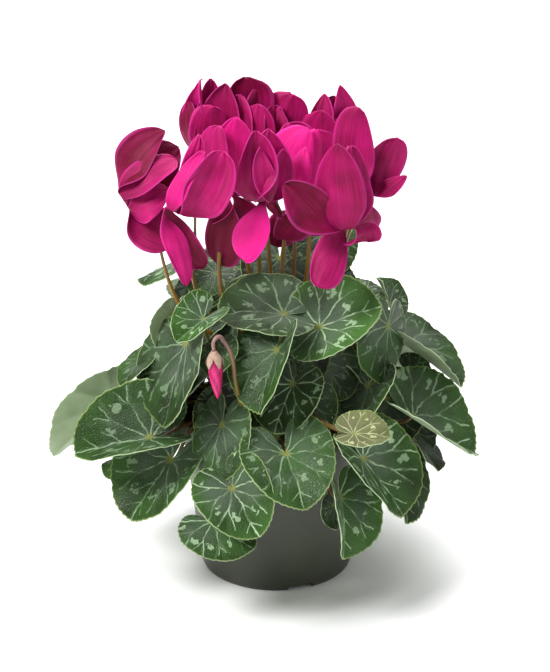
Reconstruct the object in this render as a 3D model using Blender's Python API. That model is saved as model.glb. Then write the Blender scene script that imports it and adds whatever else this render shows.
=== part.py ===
"""A potted florist's cyclamen: grow pot, potting soil, tuber, leaves, flower stems, corollas and a bud.

Metres, +Z up. The origin is the middle of the pot's underside, where it stands. Lengths in the
tables are millimetres and angles are degrees; the front of the plant looks along -Y.
"""
from math import atan2, cos, hypot, pi, radians, sin

import bmesh
import bpy
from mathutils import Matrix, Vector

MM = 0.001
GAP = 0.3                     # clearance between neighbouring pieces

# ---------------------------------------------------------------- pot, soil and tuber
RIM_RADIUS = 60.0             # a 12 cm grow pot
BASE_RADIUS = 45.0
POT_HEIGHT = 100.0
WALL = 1.5
RIM_BAND = 9.0                # height of the thicker band under the rim
FOOT_RISE = 3.6               # how far the drain channel is raised off the floor
PAD_RADIUS = 24.0             # flat middle of the underside
FOOT_WIDTH = 4.5
POT_STEPS = 32
NOTCH_COUNT = 3
NOTCH_WIDTH = 16.0
NOTCH_START = -71.0           # azimuth of the first notch
HOLE_COUNT = 6
HOLE_RADIUS = 3.5
HOLE_RING = 33.0
SOIL_TOP = 88.0
TUBER_RADIUS = 24.0
TUBER_TOP = 98.0
TUBER_BOTTOM = 70.0

# ---------------------------------------------------------------- leaves
BLADE = 0.9                   # blade thickness
SPOKES = 14
RINGS = (0.5, 1.0)
STALK_RADIUS = 1.25
# Half of the heart outline, seen from the stalk: angle from the tip and radius, for a length of 1.
OUTLINE = ((0, 1.0), (10, 0.955), (22, 0.92), (38, 0.86), (57, 0.815), (78, 0.755), (97, 0.70), (116, 0.645),
           (134, 0.585), (150, 0.51), (161, 0.41), (169, 0.26), (171, 0.1))


class Leaf:
    """One leaf: where its stalk meets the blade, how it faces, and how the blade is bent.

    hub     point where the stalk meets the blade
    facing  azimuth and elevation of the upper face
    spin    clock direction of the tip for someone facing the leaf: 0 up, 90 right, 180 down
    length  stalk to tip
    fold    how far the left and right halves are raised about the midrib (negative: lowered)
    curl    further bend of each half towards its margin
    droop   how far the tip bends down; lobes: how far the basal lobes bend down
    twist   turn of the tip about the midrib
    wave    height of the ripple along the margin
    gap     half angle of the notch between the basal lobes
    wide    width factor; lobed: length factor of the basal lobes
    young   paler; via: points the stalk passes on its way from the tuber
    """

    def __init__(self, name, hub, facing, spin, length, fold=(8, 8), curl=(0, 0), droop=15,
                 lobes=10, twist=0, wave=1.0, gap=8, wide=0.96, lobed=1.0, young=False, via=()):
        self.name = name
        self.hub = Vector(hub)
        self.facing = facing
        self.spin = spin
        self.length = length
        self.fold = fold
        self.curl = curl
        self.droop = droop
        self.lobes = lobes
        self.twist = twist
        self.wave = wave
        self.gap = gap
        self.wide = wide
        self.lobed = lobed
        self.young = young
        self.via = [Vector(point) for point in via]
        azimuth, elevation = radians(facing[0]), radians(facing[1])
        self.normal = Vector((cos(elevation) * cos(azimuth), cos(elevation) * sin(azimuth), sin(elevation)))
        upslope = Vector((0, 0, 1)) - self.normal * self.normal.z
        upslope.normalize()
        right = upslope.cross(self.normal)
        turn = radians(spin)
        self.tip = upslope * cos(turn) + right * sin(turn)
        self.side = self.normal.cross(self.tip)


LEAVES = [
    # the front of the plant, from the top down
    Leaf("leaf_01", (28, -42, 167), (-124, 38), 57, 38, fold=(7, 17), droop=7, gap=3),
    Leaf("leaf_02", (9, -48, 176), (-61, 71), 300, 41, fold=(30, 13), droop=9),
    Leaf("leaf_03", (-42, -57, 179), (-111, 72), 203, 23, fold=(36, 47), droop=7),
    Leaf("leaf_04", (-60, -22, 167), (150, 15), 165, 24, fold=(8, 8), droop=24, via=((-36, -7, 140),)),
    Leaf("leaf_05", (-50, -50, 160), (-144, 8), 164, 39, fold=(15, 25), droop=4, lobed=0.85),
    Leaf("leaf_06", (-73, -52, 104), (-124, 63), 235, 44, fold=(48, 37), droop=4, lobed=1.2),
    Leaf("leaf_07", (-97, -6, 107), (134, 39), 117, 45, fold=(-5, -7), droop=18),
    Leaf("leaf_08", (-67, -46, 83), (-158, 55), 159, 44, fold=(19, 8), droop=3, lobed=0.72),
    Leaf("leaf_09", (-31, -66, 117), (-150, 22), 182, 37, fold=(3, 17), droop=12),
    Leaf("leaf_10", (-23, -92, 86), (-109, 57), 135, 31, fold=(17, 6), droop=14, lobes=-6, lobed=1.15),
    Leaf("leaf_11", (-37, -80, 63), (-77, 69), 139, 30, fold=(-22, -16), droop=14, lobed=1.1, via=((-23.1, -53.8, 104.3), (-34, -73, 59))),
    Leaf("leaf_12", (5, -84, 107), (-87, 54), 164, 36, fold=(5, 3), droop=8, lobes=-15, gap=16, lobed=1.25),
    Leaf("leaf_13", (0, -64, 161), (-130, 45), 171, 38, fold=(24, 4), droop=17, gap=10, wide=0.88),
    Leaf("leaf_14", (57, -34, 127), (-147, 53), 168, 42, fold=(12, 6), droop=-14, lobed=0.75, via=((20, -11, 118),)),
    Leaf("leaf_15", (64, -33, 166), (-35, 14), 197, 32, fold=(-13, -6), droop=-6, wide=0.85),
    Leaf("leaf_16", (76, 0, 142), (-14, 52), 168, 43, fold=(-13, -4), droop=-1),
    Leaf("leaf_17", (78, -40, 111), (-16, 51), 163, 46, fold=(20, 20), droop=-5),
    Leaf("leaf_18", (42, -96, 124), (-86, 70), 95, 21, fold=(14, 16), droop=4, young=True, via=((20, -50, 115), (32, -86, 123))),
    Leaf("leaf_19", (49, -72, 97), (-59, 56), 160, 39, fold=(3, 42), droop=28, lobed=1.15),
    Leaf("leaf_20", (41, -80, 79), (-27, 28), 203, 36, fold=(10, 12), droop=21),
    Leaf("leaf_21", (64, -38, 81), (-13, 39), 206, 38, fold=(23, 24), droop=24),
    Leaf("leaf_22", (82, -14, 85), (-6, 49), 210, 24, fold=(9, 13), droop=4),
    Leaf("leaf_23", (33, -67, 67), (-52, 22), 195, 14, fold=(4, 5), droop=6),
    Leaf("leaf_24", (-32, -60, 162), (-144, 41), 156, 19, fold=(-5, -3), droop=17, lobed=0.85),
    Leaf("leaf_25", (-54, 8, 190), (171, 66), 168, 30, fold=(-3, -7), droop=7),
    Leaf("leaf_26", (-36, 2, 184), (-110, 62), 200, 20, fold=(6, 6), droop=14),
    Leaf("leaf_27", (27, 40, 194), (-88, 44), 176, 29, fold=(6, 6), droop=14),
    Leaf("leaf_28", (67, 14, 160), (-25, 32), 20, 18, fold=(30, 34), droop=10, young=True, gap=8),
    Leaf("leaf_29", (4, -54, 129), (-151, 27), 161, 22, fold=(11, 10), droop=22),
    Leaf("leaf_30", (-77, -28, 142), (-156, 55), 171, 21, fold=(11, -1), droop=14),
    Leaf("leaf_31", (47, -6, 174), (-40, 70), 160, 20, fold=(8, 8), droop=10),
    Leaf("leaf_32", (-81, -12, 74), (-164, 60), 221, 28, fold=(1, -11), droop=4),
    Leaf("leaf_33", (78, -8, 126), (-40, 50), 150, 20, fold=(10, 10), droop=16),
    # the back
    Leaf("leaf_34", (64, 44, 150), (34, 55), 180, 40, fold=(10, 10), droop=14),
    Leaf("leaf_35", (14, 64, 160), (75, 58), 190, 42, fold=(12, 12), droop=14),
    Leaf("leaf_36", (-34, 46, 164), (118, 60), 175, 40, fold=(10, 10), droop=14),
    Leaf("leaf_37", (92, 28, 110), (22, 42), 172, 44, fold=(8, 8), droop=16),
    Leaf("leaf_38", (56, 73, 112), (55, 42), 185, 44, fold=(8, 8), droop=16),
    Leaf("leaf_39", (2, 88, 112), (90, 42), 180, 44, fold=(8, 8), droop=18),
    Leaf("leaf_40", (-52, 72, 114), (125, 42), 176, 44, fold=(8, 8), droop=16),
    Leaf("leaf_41", (-86, 28, 118), (158, 45), 184, 42, fold=(8, 8), droop=14),
    Leaf("leaf_42", (32, 78, 74), (65, 28), 180, 38, fold=(8, 8), droop=12),
    Leaf("leaf_43", (-28, 80, 74), (112, 28), 175, 38, fold=(8, 8), droop=12),
    Leaf("leaf_44", (-78, 34, 80), (155, 28), 180, 36, fold=(8, 8), droop=12),
]

# ---------------------------------------------------------------- flowers
STEM_RADIUS = 1.4
PETAL = 0.8                   # petal thickness
MOUTH_RADIUS = 3.9
HOOK_REACH = 6.8              # from the flower's axis to the stem beside it
STEM_STEPS = 1


class Flower:
    """One nodding flower.

    mouth   middle of the mouth, which faces down
    lean    azimuth and angle that the flower's axis leans from the vertical
    stem    azimuth of the stem beside the mouth, seen along the axis
    waist   where the stem dips between the leaves
    petals  five rows, counted from the stem: tip from the mouth (x, y, z), width, roll, cup, arch
    route   further points of the stem, where it does not simply hook over
    """

    def __init__(self, number, mouth, lean, stem, waist, petals, route=None):
        self.name = f"{number:02d}"
        self.mouth = Vector(mouth)
        self.lean = lean
        self.stem = stem
        self.waist = Vector(waist)
        self.petals = petals
        self.route = route
        tilt = Matrix.Rotation(radians(lean[1]), 3, Vector((-sin(radians(lean[0])), cos(radians(lean[0])), 0)))
        spin = Matrix.Rotation(radians(stem), 3, "Z")
        self.frame = tilt @ spin


FLOWERS = [
    Flower(1, (-84, -48, 243), (10, 58), -86, (-56, -33, 178), [
        ((34, -14, -16), 26, 60, 15, 5),
        ((26, 12, 4), 22, 0, 20, 5),
        ((26, 18, 24), 24, 0, 20, 6),
        ((21, -4, 39), 26, 0, 25, 8),
        ((34, -12, 10), 22, 0, 20, 3),
    ], route=[(-70, -40, 247), (-68, -39, 235), (-66, -38, 215)]),
    Flower(2, (-53, -78, 248), (60, 22), -60, (-45, -22, 179), [
        ((24, -2, 31), 28, 0, 30, 6),
        ((18, 18, 33), 22, 0, 25, 4),
        ((13, 12, 36), 18, 0, 30, 4),
        ((2, 2, 34), 16, 0, 30, 3),
        ((8, -6, -42), 22, 0, 20, 4),
    ]),
    Flower(3, (-42, 4, 258), (180, 6), -80, (-17, 6, 188), [
        ((14, -2, 36), 24, 0, 20, 5),
        ((6, 14, 35), 24, 0, 20, 5),
        ((-5, 16, 34), 22, 0, 20, 4),
        ((-10, -2, 33), 20, 0, 25, 4),
        ((2, -14, 36), 20, 0, 40, 4),
    ]),
    Flower(4, (-28, -28, 240), (100, 8), -60, (-32, -30, 186), [
        ((7, -12, 45), 28, 0, 20, 6),
        ((3, 14, 35), 26, 0, 20, 5),
        ((-6, 14, 36), 22, 0, 20, 4),
        ((-9, -2, -42), 24, 0, 15, 5),
        ((12, -8, -33), 26, 0, 15, 5),
    ]),
    Flower(5, (-11, -64, 247), (100, 8), -50, (-10, -14, 190), [
        ((15, 0, 34), 22, 0, 25, 6),
        ((6, 14, 36), 24, 0, 22, 4),
        ((0, 8, 37), 22, 0, 22, 4),
        ((-3, -2, 39), 24, -20, 30, 6),
        ((-6, -12, -30), 20, 0, 15, 5),
    ]),
    Flower(6, (-12, 8, 255), (90, 4), -80, (-4, 10, 188), [
        ((6, -4, 36), 24, 0, 20, 5),
        ((4, 14, 37), 24, 0, 20, 5),
        ((-6, 14, 39), 22, 0, 20, 4),
        ((-9, -4, 42), 22, 0, 20, 4),
        ((-1, -18, 33), 26, 0, 20, 5),
    ]),
    Flower(7, (15, 6, 248), (90, 4), -80, (10, 6, 184), [
        ((11, -6, 33), 26, 0, 20, 6),
        ((2, 12, 36), 26, 0, 20, 5),
        ((-8, 12, 37), 22, 0, 20, 4),
        ((-11, -6, 36), 24, 0, 20, 4),
        ((-2, -18, 39), 28, 0, 15, 6),
    ]),
    Flower(8, (7, -40, 243), (70, 10), -100, (3, -10, 184), [
        ((18, -6, 32), 24, 0, 22, 6),
        ((15, 14, 32), 24, 0, 20, 4),
        ((6, 6, 36), 24, 0, 22, 4),
        ((-5, -8, 32), 20, 0, 25, 5),
        ((-10, -6, -14), 20, 0, 15, 4),
    ]),
    Flower(9, (39, -66, 234), (190, 14), 170, (34, -20, 197), [
        ((-35, -16, 31), 28, 0, 22, 8),
        ((-22, -12, -32), 26, 0, 18, 6),
        ((18, 0, 14), 22, 0, 22, 5),
        ((-2, 12, 42), 24, 0, 22, 5),
        ((-10, 4, 42), 26, 0, 22, 4),
    ]),
    Flower(10, (34, 24, 251), (90, 4), -80, (30, 2, 190), [
        ((5, -4, 36), 22, 0, 25, 5),
        ((2, 12, 36), 20, 0, 20, 4),
        ((-7, 8, 34), 20, 0, 20, 4),
        ((-10, -4, 34), 20, 0, 25, 4),
        ((-3, -16, 34), 20, 0, 30, 5),
    ]),
    Flower(11, (49, -36, 243), (100, 10), -120, (36, -8, 195), [
        ((24, -8, 14), 16, 0, 15, 4),
        ((16, 8, 26), 24, 0, 22, 5),
        ((1, 12, 44), 26, 0, 20, 5),
        ((-8, 0, 47), 26, 0, 20, 4),
        ((-9, -12, 40), 26, 0, 25, 6),
    ]),
    Flower(12, (16, 30, 216), (90, 6), -60, (19, 6, 200), [
        ((12, -4, 34), 24, 0, 20, 5),
        ((5, 14, 33), 24, 0, 20, 5),
        ((-4, 14, 33), 22, 0, 20, 4),
        ((-20, -6, -26), 24, 0, 15, 5),
        ((14, -18, -20), 24, 0, 15, 5),
    ]),
]
PETAL_START = 36.0            # azimuth of the first petal from the stem
PETAL_REACH = 7.0             # length of the claw that turns down and out of the mouth
# Width along a petal: part of the length and part of the full width.
PETAL_WIDTH = ((0, 0.18), (0.1, 0.2), (0.25, 0.46), (0.45, 0.9), (0.62, 1.0), (0.8, 0.86),
               (0.93, 0.52), (1, 0.16))
PETAL_ROWS = (0, 0.22, 0.55, 1)

BUD_ROUTE = ((-19, -68, 129), (-22.8, -77.5, 147), (-25, -77.5, 162.5), (-29, -79, 171.5), (-32, -82, 175.5),
             (-34.5, -84, 173.5), (-34.5, -84.6, 168.5))
BUD_TIP = (-32.5, -85, 139.5)

FLOWER_RING = 7.0             # radius on the tuber's crown where the flower stems stand
HIGH_RING, LOW_RING = 11.8, 16.4      # then the stalks of the high leaves, then those of the low ones
OVER_RIM = 120.0              # leaves below this height hang over the rim
RIM_CLEAR = 58.5              # where their stalks bend


def material(name, colour, roughness, metallic=0.0):
    """A Principled BSDF with one colour, given in linear values."""
    made = bpy.data.materials.new(name)
    made.use_nodes = True
    shader = made.node_tree.nodes["Principled BSDF"]
    shader.inputs["Base Color"].default_value = (*colour, 1)
    shader.inputs["Roughness"].default_value = roughness
    shader.inputs["Metallic"].default_value = metallic
    made.diffuse_color = (*colour, 1)
    return made


def steps(table, place):
    """Straight-line reading of a table of (place, value) rows."""
    for (start, low), (end, high) in zip(table, table[1:]):
        if place <= end:
            return low + (high - low) * (place - start) / (end - start)
    return table[-1][1]


def add_object(name, mesh, mat):
    """Link a mesh, given in millimetres, as an object in metres."""
    mesh.transform(Matrix.Scale(MM, 4))
    mesh.materials.clear()
    mesh.materials.append(mat)
    made = bpy.data.objects.new(name, mesh)
    bpy.context.collection.objects.link(made)
    return made


def mesh_from(bm, name):
    bmesh.ops.recalc_face_normals(bm, faces=bm.faces)
    mesh = bpy.data.meshes.new(name)
    bm.to_mesh(mesh)
    bm.free()
    return mesh


def turned(profile, segments, name):
    """Spin a closed or axis-to-axis profile of (radius, height) rows about the Z axis."""
    bm = bmesh.new()
    rows = [bm.verts.new((radius, 0, height)) for radius, height in profile]
    edges = [bm.edges.new(pair) for pair in zip(rows, rows[1:])]
    if profile[0][0] > 0:
        edges.append(bm.edges.new((rows[-1], rows[0])))
    bmesh.ops.spin(bm, geom=rows + edges, axis=(0, 0, 1), cent=(0, 0, 0), angle=2 * pi,
                   steps=segments, use_merge=True)
    bmesh.ops.remove_doubles(bm, verts=bm.verts, dist=1e-4)
    return mesh_from(bm, name)


def evaluated_copy(made):
    """The object's mesh with its modifiers applied."""
    bpy.context.view_layer.update()
    graph = bpy.context.evaluated_depsgraph_get()
    return bpy.data.meshes.new_from_object(made.evaluated_get(graph))


def combine(base, others, operation="UNION"):
    """Apply an exact Boolean of the base with each other object, and remove those objects."""
    for other in others:
        cut = base.modifiers.new("combine", "BOOLEAN")
        cut.operation = operation
        cut.solver = "EXACT"
        cut.use_self = True
        cut.object = other
    mesh = evaluated_copy(base)
    base.modifiers.clear()
    mat = base.data.materials[0]
    base.data = mesh
    mesh.materials.clear()
    mesh.materials.append(mat)
    for other in others:
        bpy.data.objects.remove(other)
    return base


def stalk(name, points, radii, mat, resolution, ends=None):
    """A round stalk through the points, in millimetres; ends are the directions at its two ends."""
    curve = bpy.data.curves.new(name, "CURVE")
    curve.dimensions = "3D"
    curve.bevel_depth = 1.0
    curve.bevel_resolution = 1
    curve.use_fill_caps = True
    curve.resolution_u = resolution
    line = curve.splines.new("BEZIER")
    line.bezier_points.add(len(points) - 1)
    for knot, point, radius in zip(line.bezier_points, points, radii):
        knot.co = point
        knot.radius = radius
        knot.handle_left_type = knot.handle_right_type = "AUTO"
    made = bpy.data.objects.new(name, curve)
    bpy.context.collection.objects.link(made)
    bpy.context.view_layer.update()
    if ends:
        first, last = line.bezier_points[0], line.bezier_points[-1]
        if ends[0]:
            first.handle_right_type = "FREE"
            first.handle_right = first.co + ends[0]
        if ends[1]:
            last.handle_left_type = "FREE"
            last.handle_left = last.co - ends[1]
    mesh = evaluated_copy(made)
    bpy.data.objects.remove(made)
    bm = bmesh.new()
    bm.from_mesh(mesh)
    bmesh.ops.remove_doubles(bm, verts=bm.verts, dist=1e-4)
    return add_object(name, mesh_from(bm, name), mat)


# ---------------------------------------------------------------- pot, soil, tuber
def outer_radius(height):
    return BASE_RADIUS + (RIM_RADIUS - 2.0 - BASE_RADIUS) * height / POT_HEIGHT


def make_pot(mat):
    inner_floor = FOOT_RISE + WALL
    band_bottom = POT_HEIGHT - RIM_BAND
    profile = [
        (0, 0), (PAD_RADIUS, 0), (PAD_RADIUS + 2.5, FOOT_RISE),
        (BASE_RADIUS - FOOT_WIDTH - 1, FOOT_RISE), (BASE_RADIUS - FOOT_WIDTH, 0),
        (BASE_RADIUS - 1.8, 0), (BASE_RADIUS - 0.4, 1.2), (outer_radius(4), 4),
        (outer_radius(band_bottom - 1.5), band_bottom - 1.5), (RIM_RADIUS, band_bottom),
        (RIM_RADIUS, POT_HEIGHT - 1), (RIM_RADIUS - 0.8, POT_HEIGHT),
        (RIM_RADIUS - 2.4, POT_HEIGHT), (RIM_RADIUS - 3.2, POT_HEIGHT - 1),
        (outer_radius(band_bottom - 3) - WALL, band_bottom - 3),
        (outer_radius(inner_floor) - WALL, inner_floor), (PAD_RADIUS + 1.5, inner_floor),
        (PAD_RADIUS - 1, WALL), (0, WALL),
    ]
    pot = add_object("pot", turned(profile, POT_STEPS, "pot"), mat)
    cutters = []
    for number in range(NOTCH_COUNT):
        turn = Matrix.Rotation(radians(NOTCH_START + 360 * number / NOTCH_COUNT), 4, "Z")
        bm = bmesh.new()
        bmesh.ops.create_cube(bm, size=1)
        bmesh.ops.scale(bm, vec=(12, NOTCH_WIDTH, 2 * FOOT_RISE - 0.4), verts=bm.verts)
        top = [edge for edge in bm.edges if all(v.co.z > 0 and v.co.y * edge.verts[0].co.y > 0
                                                for v in edge.verts)]
        bmesh.ops.bevel(bm, geom=top, offset=1.6, offset_type="OFFSET", segments=2, profile=0.5,
                        affect="EDGES", material=-1)
        bmesh.ops.transform(bm, matrix=turn @ Matrix.Translation((BASE_RADIUS - 1, 0, 0)), verts=bm.verts)
        cutters.append(add_object(f"notch_{number}", mesh_from(bm, "notch"), mat))
    for number in range(HOLE_COUNT):
        turn = Matrix.Rotation(radians(NOTCH_START + 30 + 360 * number / HOLE_COUNT), 4, "Z")
        bm = bmesh.new()
        bmesh.ops.create_cone(bm, cap_ends=True, segments=8, radius1=HOLE_RADIUS, radius2=HOLE_RADIUS,
                              depth=6)
        bmesh.ops.transform(bm, matrix=turn @ Matrix.Translation((HOLE_RING, 0, FOOT_RISE + 1)),
                            verts=bm.verts)
        cutters.append(add_object(f"hole_{number}", mesh_from(bm, "hole"), mat))
    return combine(pot, cutters, "DIFFERENCE")


def tuber_height(radius):
    """Height of the tuber's upper side, a flattened dome."""
    middle = (TUBER_TOP + TUBER_BOTTOM) / 2 + 2
    share = min(radius / TUBER_RADIUS, 1)
    return middle + (TUBER_TOP - middle) * (1 - share ** 3) ** 0.5


def make_substrate(mat):
    floor = FOOT_RISE + WALL + GAP
    side = WALL + GAP
    upper = [(TUBER_RADIUS + GAP, tuber_height(TUBER_RADIUS)), (TUBER_RADIUS + 3, SOIL_TOP + 1),
             (40, SOIL_TOP - 0.5), (outer_radius(SOIL_TOP - 2) - side, SOIL_TOP - 2)]
    lower = [(outer_radius(floor) - side, floor), (PAD_RADIUS + 1.5, floor), (PAD_RADIUS - 1.4, WALL + GAP),
             (0, WALL + GAP)]
    bowl = [(0, TUBER_BOTTOM - GAP), (TUBER_RADIUS * 0.55, TUBER_BOTTOM + 2 - GAP),
            (TUBER_RADIUS * 0.9 + GAP, TUBER_BOTTOM + 8)]
    return add_object("substrate", turned(bowl + upper + lower, 24, "substrate"), mat)


def make_tuber(mat):
    under = [(0, TUBER_BOTTOM), (TUBER_RADIUS * 0.55, TUBER_BOTTOM + 2), (TUBER_RADIUS * 0.9, TUBER_BOTTOM + 8)]
    radii = (1.0, 0.96, 0.85, 0.65, 0.35)
    crown = [(TUBER_RADIUS * share, tuber_height(TUBER_RADIUS * share)) for share in radii]
    return add_object("tuber", turned(under + crown + [(0, TUBER_TOP)], 18, "tuber"), mat)


def crown_point(azimuth, radius, stalk_radius):
    """Where a stalk stands on the tuber, just clear of it."""
    height = tuber_height(max(radius - stalk_radius, 0)) + GAP
    return Vector((radius * cos(azimuth), radius * sin(azimuth), height))


def spread(items, least):
    """Push (azimuth, name) items apart round the circle until neighbours differ by the least angle."""
    order = sorted(items)
    places = [azimuth for azimuth, _ in order]
    count = len(places)
    for _ in range(400):
        for here in range(count):
            after = (here + 1) % count
            turn = 2 * pi if after == 0 else 0
            short = least - (places[after] + turn - places[here])
            if short > 0:
                places[here] -= short / 2
                places[after] += short / 2
    return {name: place for place, (_, name) in zip(places, order)}


# ---------------------------------------------------------------- leaves
def rim(place):
    """Heart outline at a place from -1 to 1 around the margin: angle from the tip and radius."""
    spot = min(abs(place), 1) * (len(OUTLINE) - 1)
    first = min(int(spot), len(OUTLINE) - 2)
    share = spot - first
    angle = OUTLINE[first][0] * (1 - share) + OUTLINE[first + 1][0] * share
    radius = OUTLINE[first][1] * (1 - share) + OUTLINE[first + 1][1] * share
    return (angle if place >= 0 else -angle), radius


def blade_point(leaf, angle, radius):
    """A point of the bent blade, from its flat polar place (degrees, part of the length)."""
    radius *= 1 + (leaf.lobed - 1) * min(max((abs(angle) - 70) / 70, 0), 1)
    angle = radians(angle * (180 - leaf.gap) / OUTLINE[-1][0])
    along, across = radius * cos(angle), radius * sin(angle) * leaf.wide
    half = 0 if across > 0 else 1
    side = rise = 0.0
    parts = 6
    for part in range(parts):
        reach = abs(across) * (part + 0.5) / parts
        slope = radians(leaf.fold[half]) * min(reach / 0.06, 1) + radians(leaf.curl[half]) * reach
        side += cos(slope) * abs(across) / parts
        rise += sin(slope) * abs(across) / parts
    side = side if across > 0 else -side
    ripple = leaf.wave * sin(4 * angle + leaf.hub.x) * radius ** 3 / leaf.length
    rise += ripple
    bend = radians(leaf.droop) * along if along > 0 else radians(leaf.lobes) * along
    # the midrib is a circular arc: its chord and height
    chord = along * (sin(bend / 2) / (bend / 2) if abs(bend) > 1e-6 else 1)
    line_x, line_z = chord * cos(bend / 2), -chord * sin(bend / 2)
    turn = radians(leaf.twist) * max(along, 0)
    side, rise = side * cos(turn) - rise * sin(turn), side * sin(turn) + rise * cos(turn)
    local = Vector((line_x + rise * sin(bend), side, line_z + rise * cos(bend)))
    return leaf.hub + (leaf.tip * local.x + leaf.side * local.y + leaf.normal * local.z) * leaf.length


def make_blade(leaf, mat):
    """Spin a spoke round the stalk point, then lay each vertex on the bent blade."""
    bm = bmesh.new()
    spoke = [bm.verts.new((ring, 0, 0)) for ring in (0,) + RINGS]
    edges = [bm.edges.new(pair) for pair in zip(spoke, spoke[1:])]
    bmesh.ops.rotate(bm, verts=spoke, cent=(0, 0, 0), matrix=Matrix.Rotation(-3, 3, "Z"))
    bmesh.ops.spin(bm, geom=spoke + edges, axis=(0, 0, 1), cent=(0, 0, 0), angle=6, steps=SPOKES,
                   use_merge=False)
    bmesh.ops.remove_doubles(bm, verts=bm.verts, dist=1e-4)
    for vert in bm.verts:
        ring = hypot(vert.co.x, vert.co.y)
        if ring < 1e-3:
            vert.co = leaf.hub
            continue
        angle, radius = rim(atan2(vert.co.y, vert.co.x) / 3)
        vert.co = blade_point(leaf, angle, radius * ring)
    bmesh.ops.triangulate(bm, faces=bm.faces)
    made = add_object(leaf.name, mesh_from(bm, leaf.name), mat)
    thick = made.modifiers.new("thickness", "SOLIDIFY")
    thick.thickness = BLADE * MM
    thick.offset = 0
    return made


def make_leaf(leaf, root, over, mat):
    """Blade and petiole in one piece; a low leaf's petiole bends over the rim at the azimuth `over`."""
    made = make_blade(leaf, mat)
    points = [root]
    if leaf.via:
        points += leaf.via
        start = Vector((root.x * 0.6, root.y * 0.6, 16))
    elif leaf.hub.z < OVER_RIM:
        points.append(Vector((RIM_CLEAR * cos(over), RIM_CLEAR * sin(over), POT_HEIGHT + 4.3)))
        start = Vector((root.x * 0.5, root.y * 0.5, 9))
    else:
        start = Vector((root.x * 1.1, root.y * 1.1, (leaf.hub.z - root.z) * 0.46))
    reach = (leaf.hub - points[-1]).length
    arrive = (leaf.normal + Vector((0, 0, 0.4))).normalized()
    radii = [STALK_RADIUS] * len(points) + [STALK_RADIUS * 0.8]
    petiole = stalk(leaf.name + "_stalk", points + [leaf.hub], radii, mat, 4 - len(points) // 2,
                    ends=(start, arrive * reach * 0.3))
    return combine(made, [petiole])


# ---------------------------------------------------------------- flowers
def petal_curve(flower, number):
    """The four Bezier points of a petal's middle line."""
    tip, _, _, _, arch = flower.petals[number]
    azimuth = radians(PETAL_START + 72 * number)
    out = flower.frame @ Vector((cos(azimuth), sin(azimuth), 0))
    axis = flower.frame @ Vector((0, 0, 1))
    base = flower.mouth + out * (MOUTH_RADIUS - 0.5) + axis * 0.4
    end = flower.mouth + Vector(tip)
    claw = base + (out * 0.8 - axis * 0.6) * PETAL_REACH
    chord = end - base
    bulge = out - chord * out.dot(chord) / chord.length_squared
    later = base + chord * 0.6 + bulge.normalized() * arch
    return base, claw, later, end


def petal_point(flower, number, along, across):
    """A point of a petal: along from 0 to 1, across from -1 to 1."""
    base, claw, later, end = petal_curve(flower, number)
    _, width, roll, cup, _ = flower.petals[number]
    rest = 1 - along
    middle = (base * rest ** 3 + claw * 3 * rest ** 2 * along + later * 3 * rest * along ** 2
              + end * along ** 3)
    tangent = ((claw - base) * rest ** 2 + (later - claw) * 2 * rest * along + (end - later) * along ** 2)
    tangent.normalize()
    azimuth = radians(PETAL_START + 72 * number)
    across_way = flower.frame @ Vector((-sin(azimuth), cos(azimuth), 0))
    across_way -= tangent * across_way.dot(tangent)
    across_way.normalize()
    eased = along * along * (3 - 2 * along)
    across_way = Matrix.Rotation(radians(roll) * eased, 3, tangent) @ across_way
    face = tangent.cross(across_way)
    half = width / 2 * steps(PETAL_WIDTH, along)
    angle = radians(cup) * eased ** 0.5 + 1e-4
    side = half * sin(angle * across) / angle
    depth = half * (1 - cos(angle * across)) / angle
    return middle + across_way * side + face * depth


def make_petal(flower, number, mat):
    bm = bmesh.new()
    bmesh.ops.create_grid(bm, x_segments=len(PETAL_ROWS) - 1, y_segments=2, size=1)
    for vert in bm.verts:
        row = round((vert.co.x + 1) / 2 * (len(PETAL_ROWS) - 1))
        vert.co = petal_point(flower, number, PETAL_ROWS[row], vert.co.y)
    bmesh.ops.triangulate(bm, faces=bm.faces)
    name = f"petal_{flower.name}_{number}"
    made = add_object(name, mesh_from(bm, name), mat)
    thick = made.modifiers.new("thickness", "SOLIDIFY")
    thick.thickness = PETAL * MM
    thick.offset = 0
    return made


def placed(mesh, flower):
    """Move a mesh made around the flower's own axis to where the flower is."""
    mesh.transform(Matrix.Translation(flower.mouth) @ flower.frame.to_4x4())
    return mesh


def make_flower(flower, root, mat):
    """Stem, calyx, tube and petals, which grew as one piece."""
    name = "flower_" + flower.name
    middle = [(0, -0.4), (3.9, -0.4), (4.3, 2.5), (3.0, 6.5), (1.2, 9.5), (0, 9.5)]
    made = add_object(name, placed(turned(middle, 8, name), flower), mat)
    hook = [(0, 0, 8), (0.5, 0, 11.2)]
    if not flower.route:
        hook += [(3.2, 0, 13.2), (6.0, 0, 11.4), (HOOK_REACH, 0, 5)]
    points = [flower.mouth + flower.frame @ Vector(point) for point in hook]
    points += [Vector(point) for point in flower.route or ()]
    points += [flower.waist, root]
    radii = [0.85] * (len(points) - 2) + [STEM_RADIUS * 0.9, STEM_RADIUS]
    parts = [make_petal(flower, number, mat) for number in range(5)]
    rise = Vector((root.x * 0.3, root.y * 0.3, 56))
    parts.append(stalk("stem_" + flower.name, points, radii, mat, STEM_STEPS, ends=(None, -rise)))
    return combine(made, parts)


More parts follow.
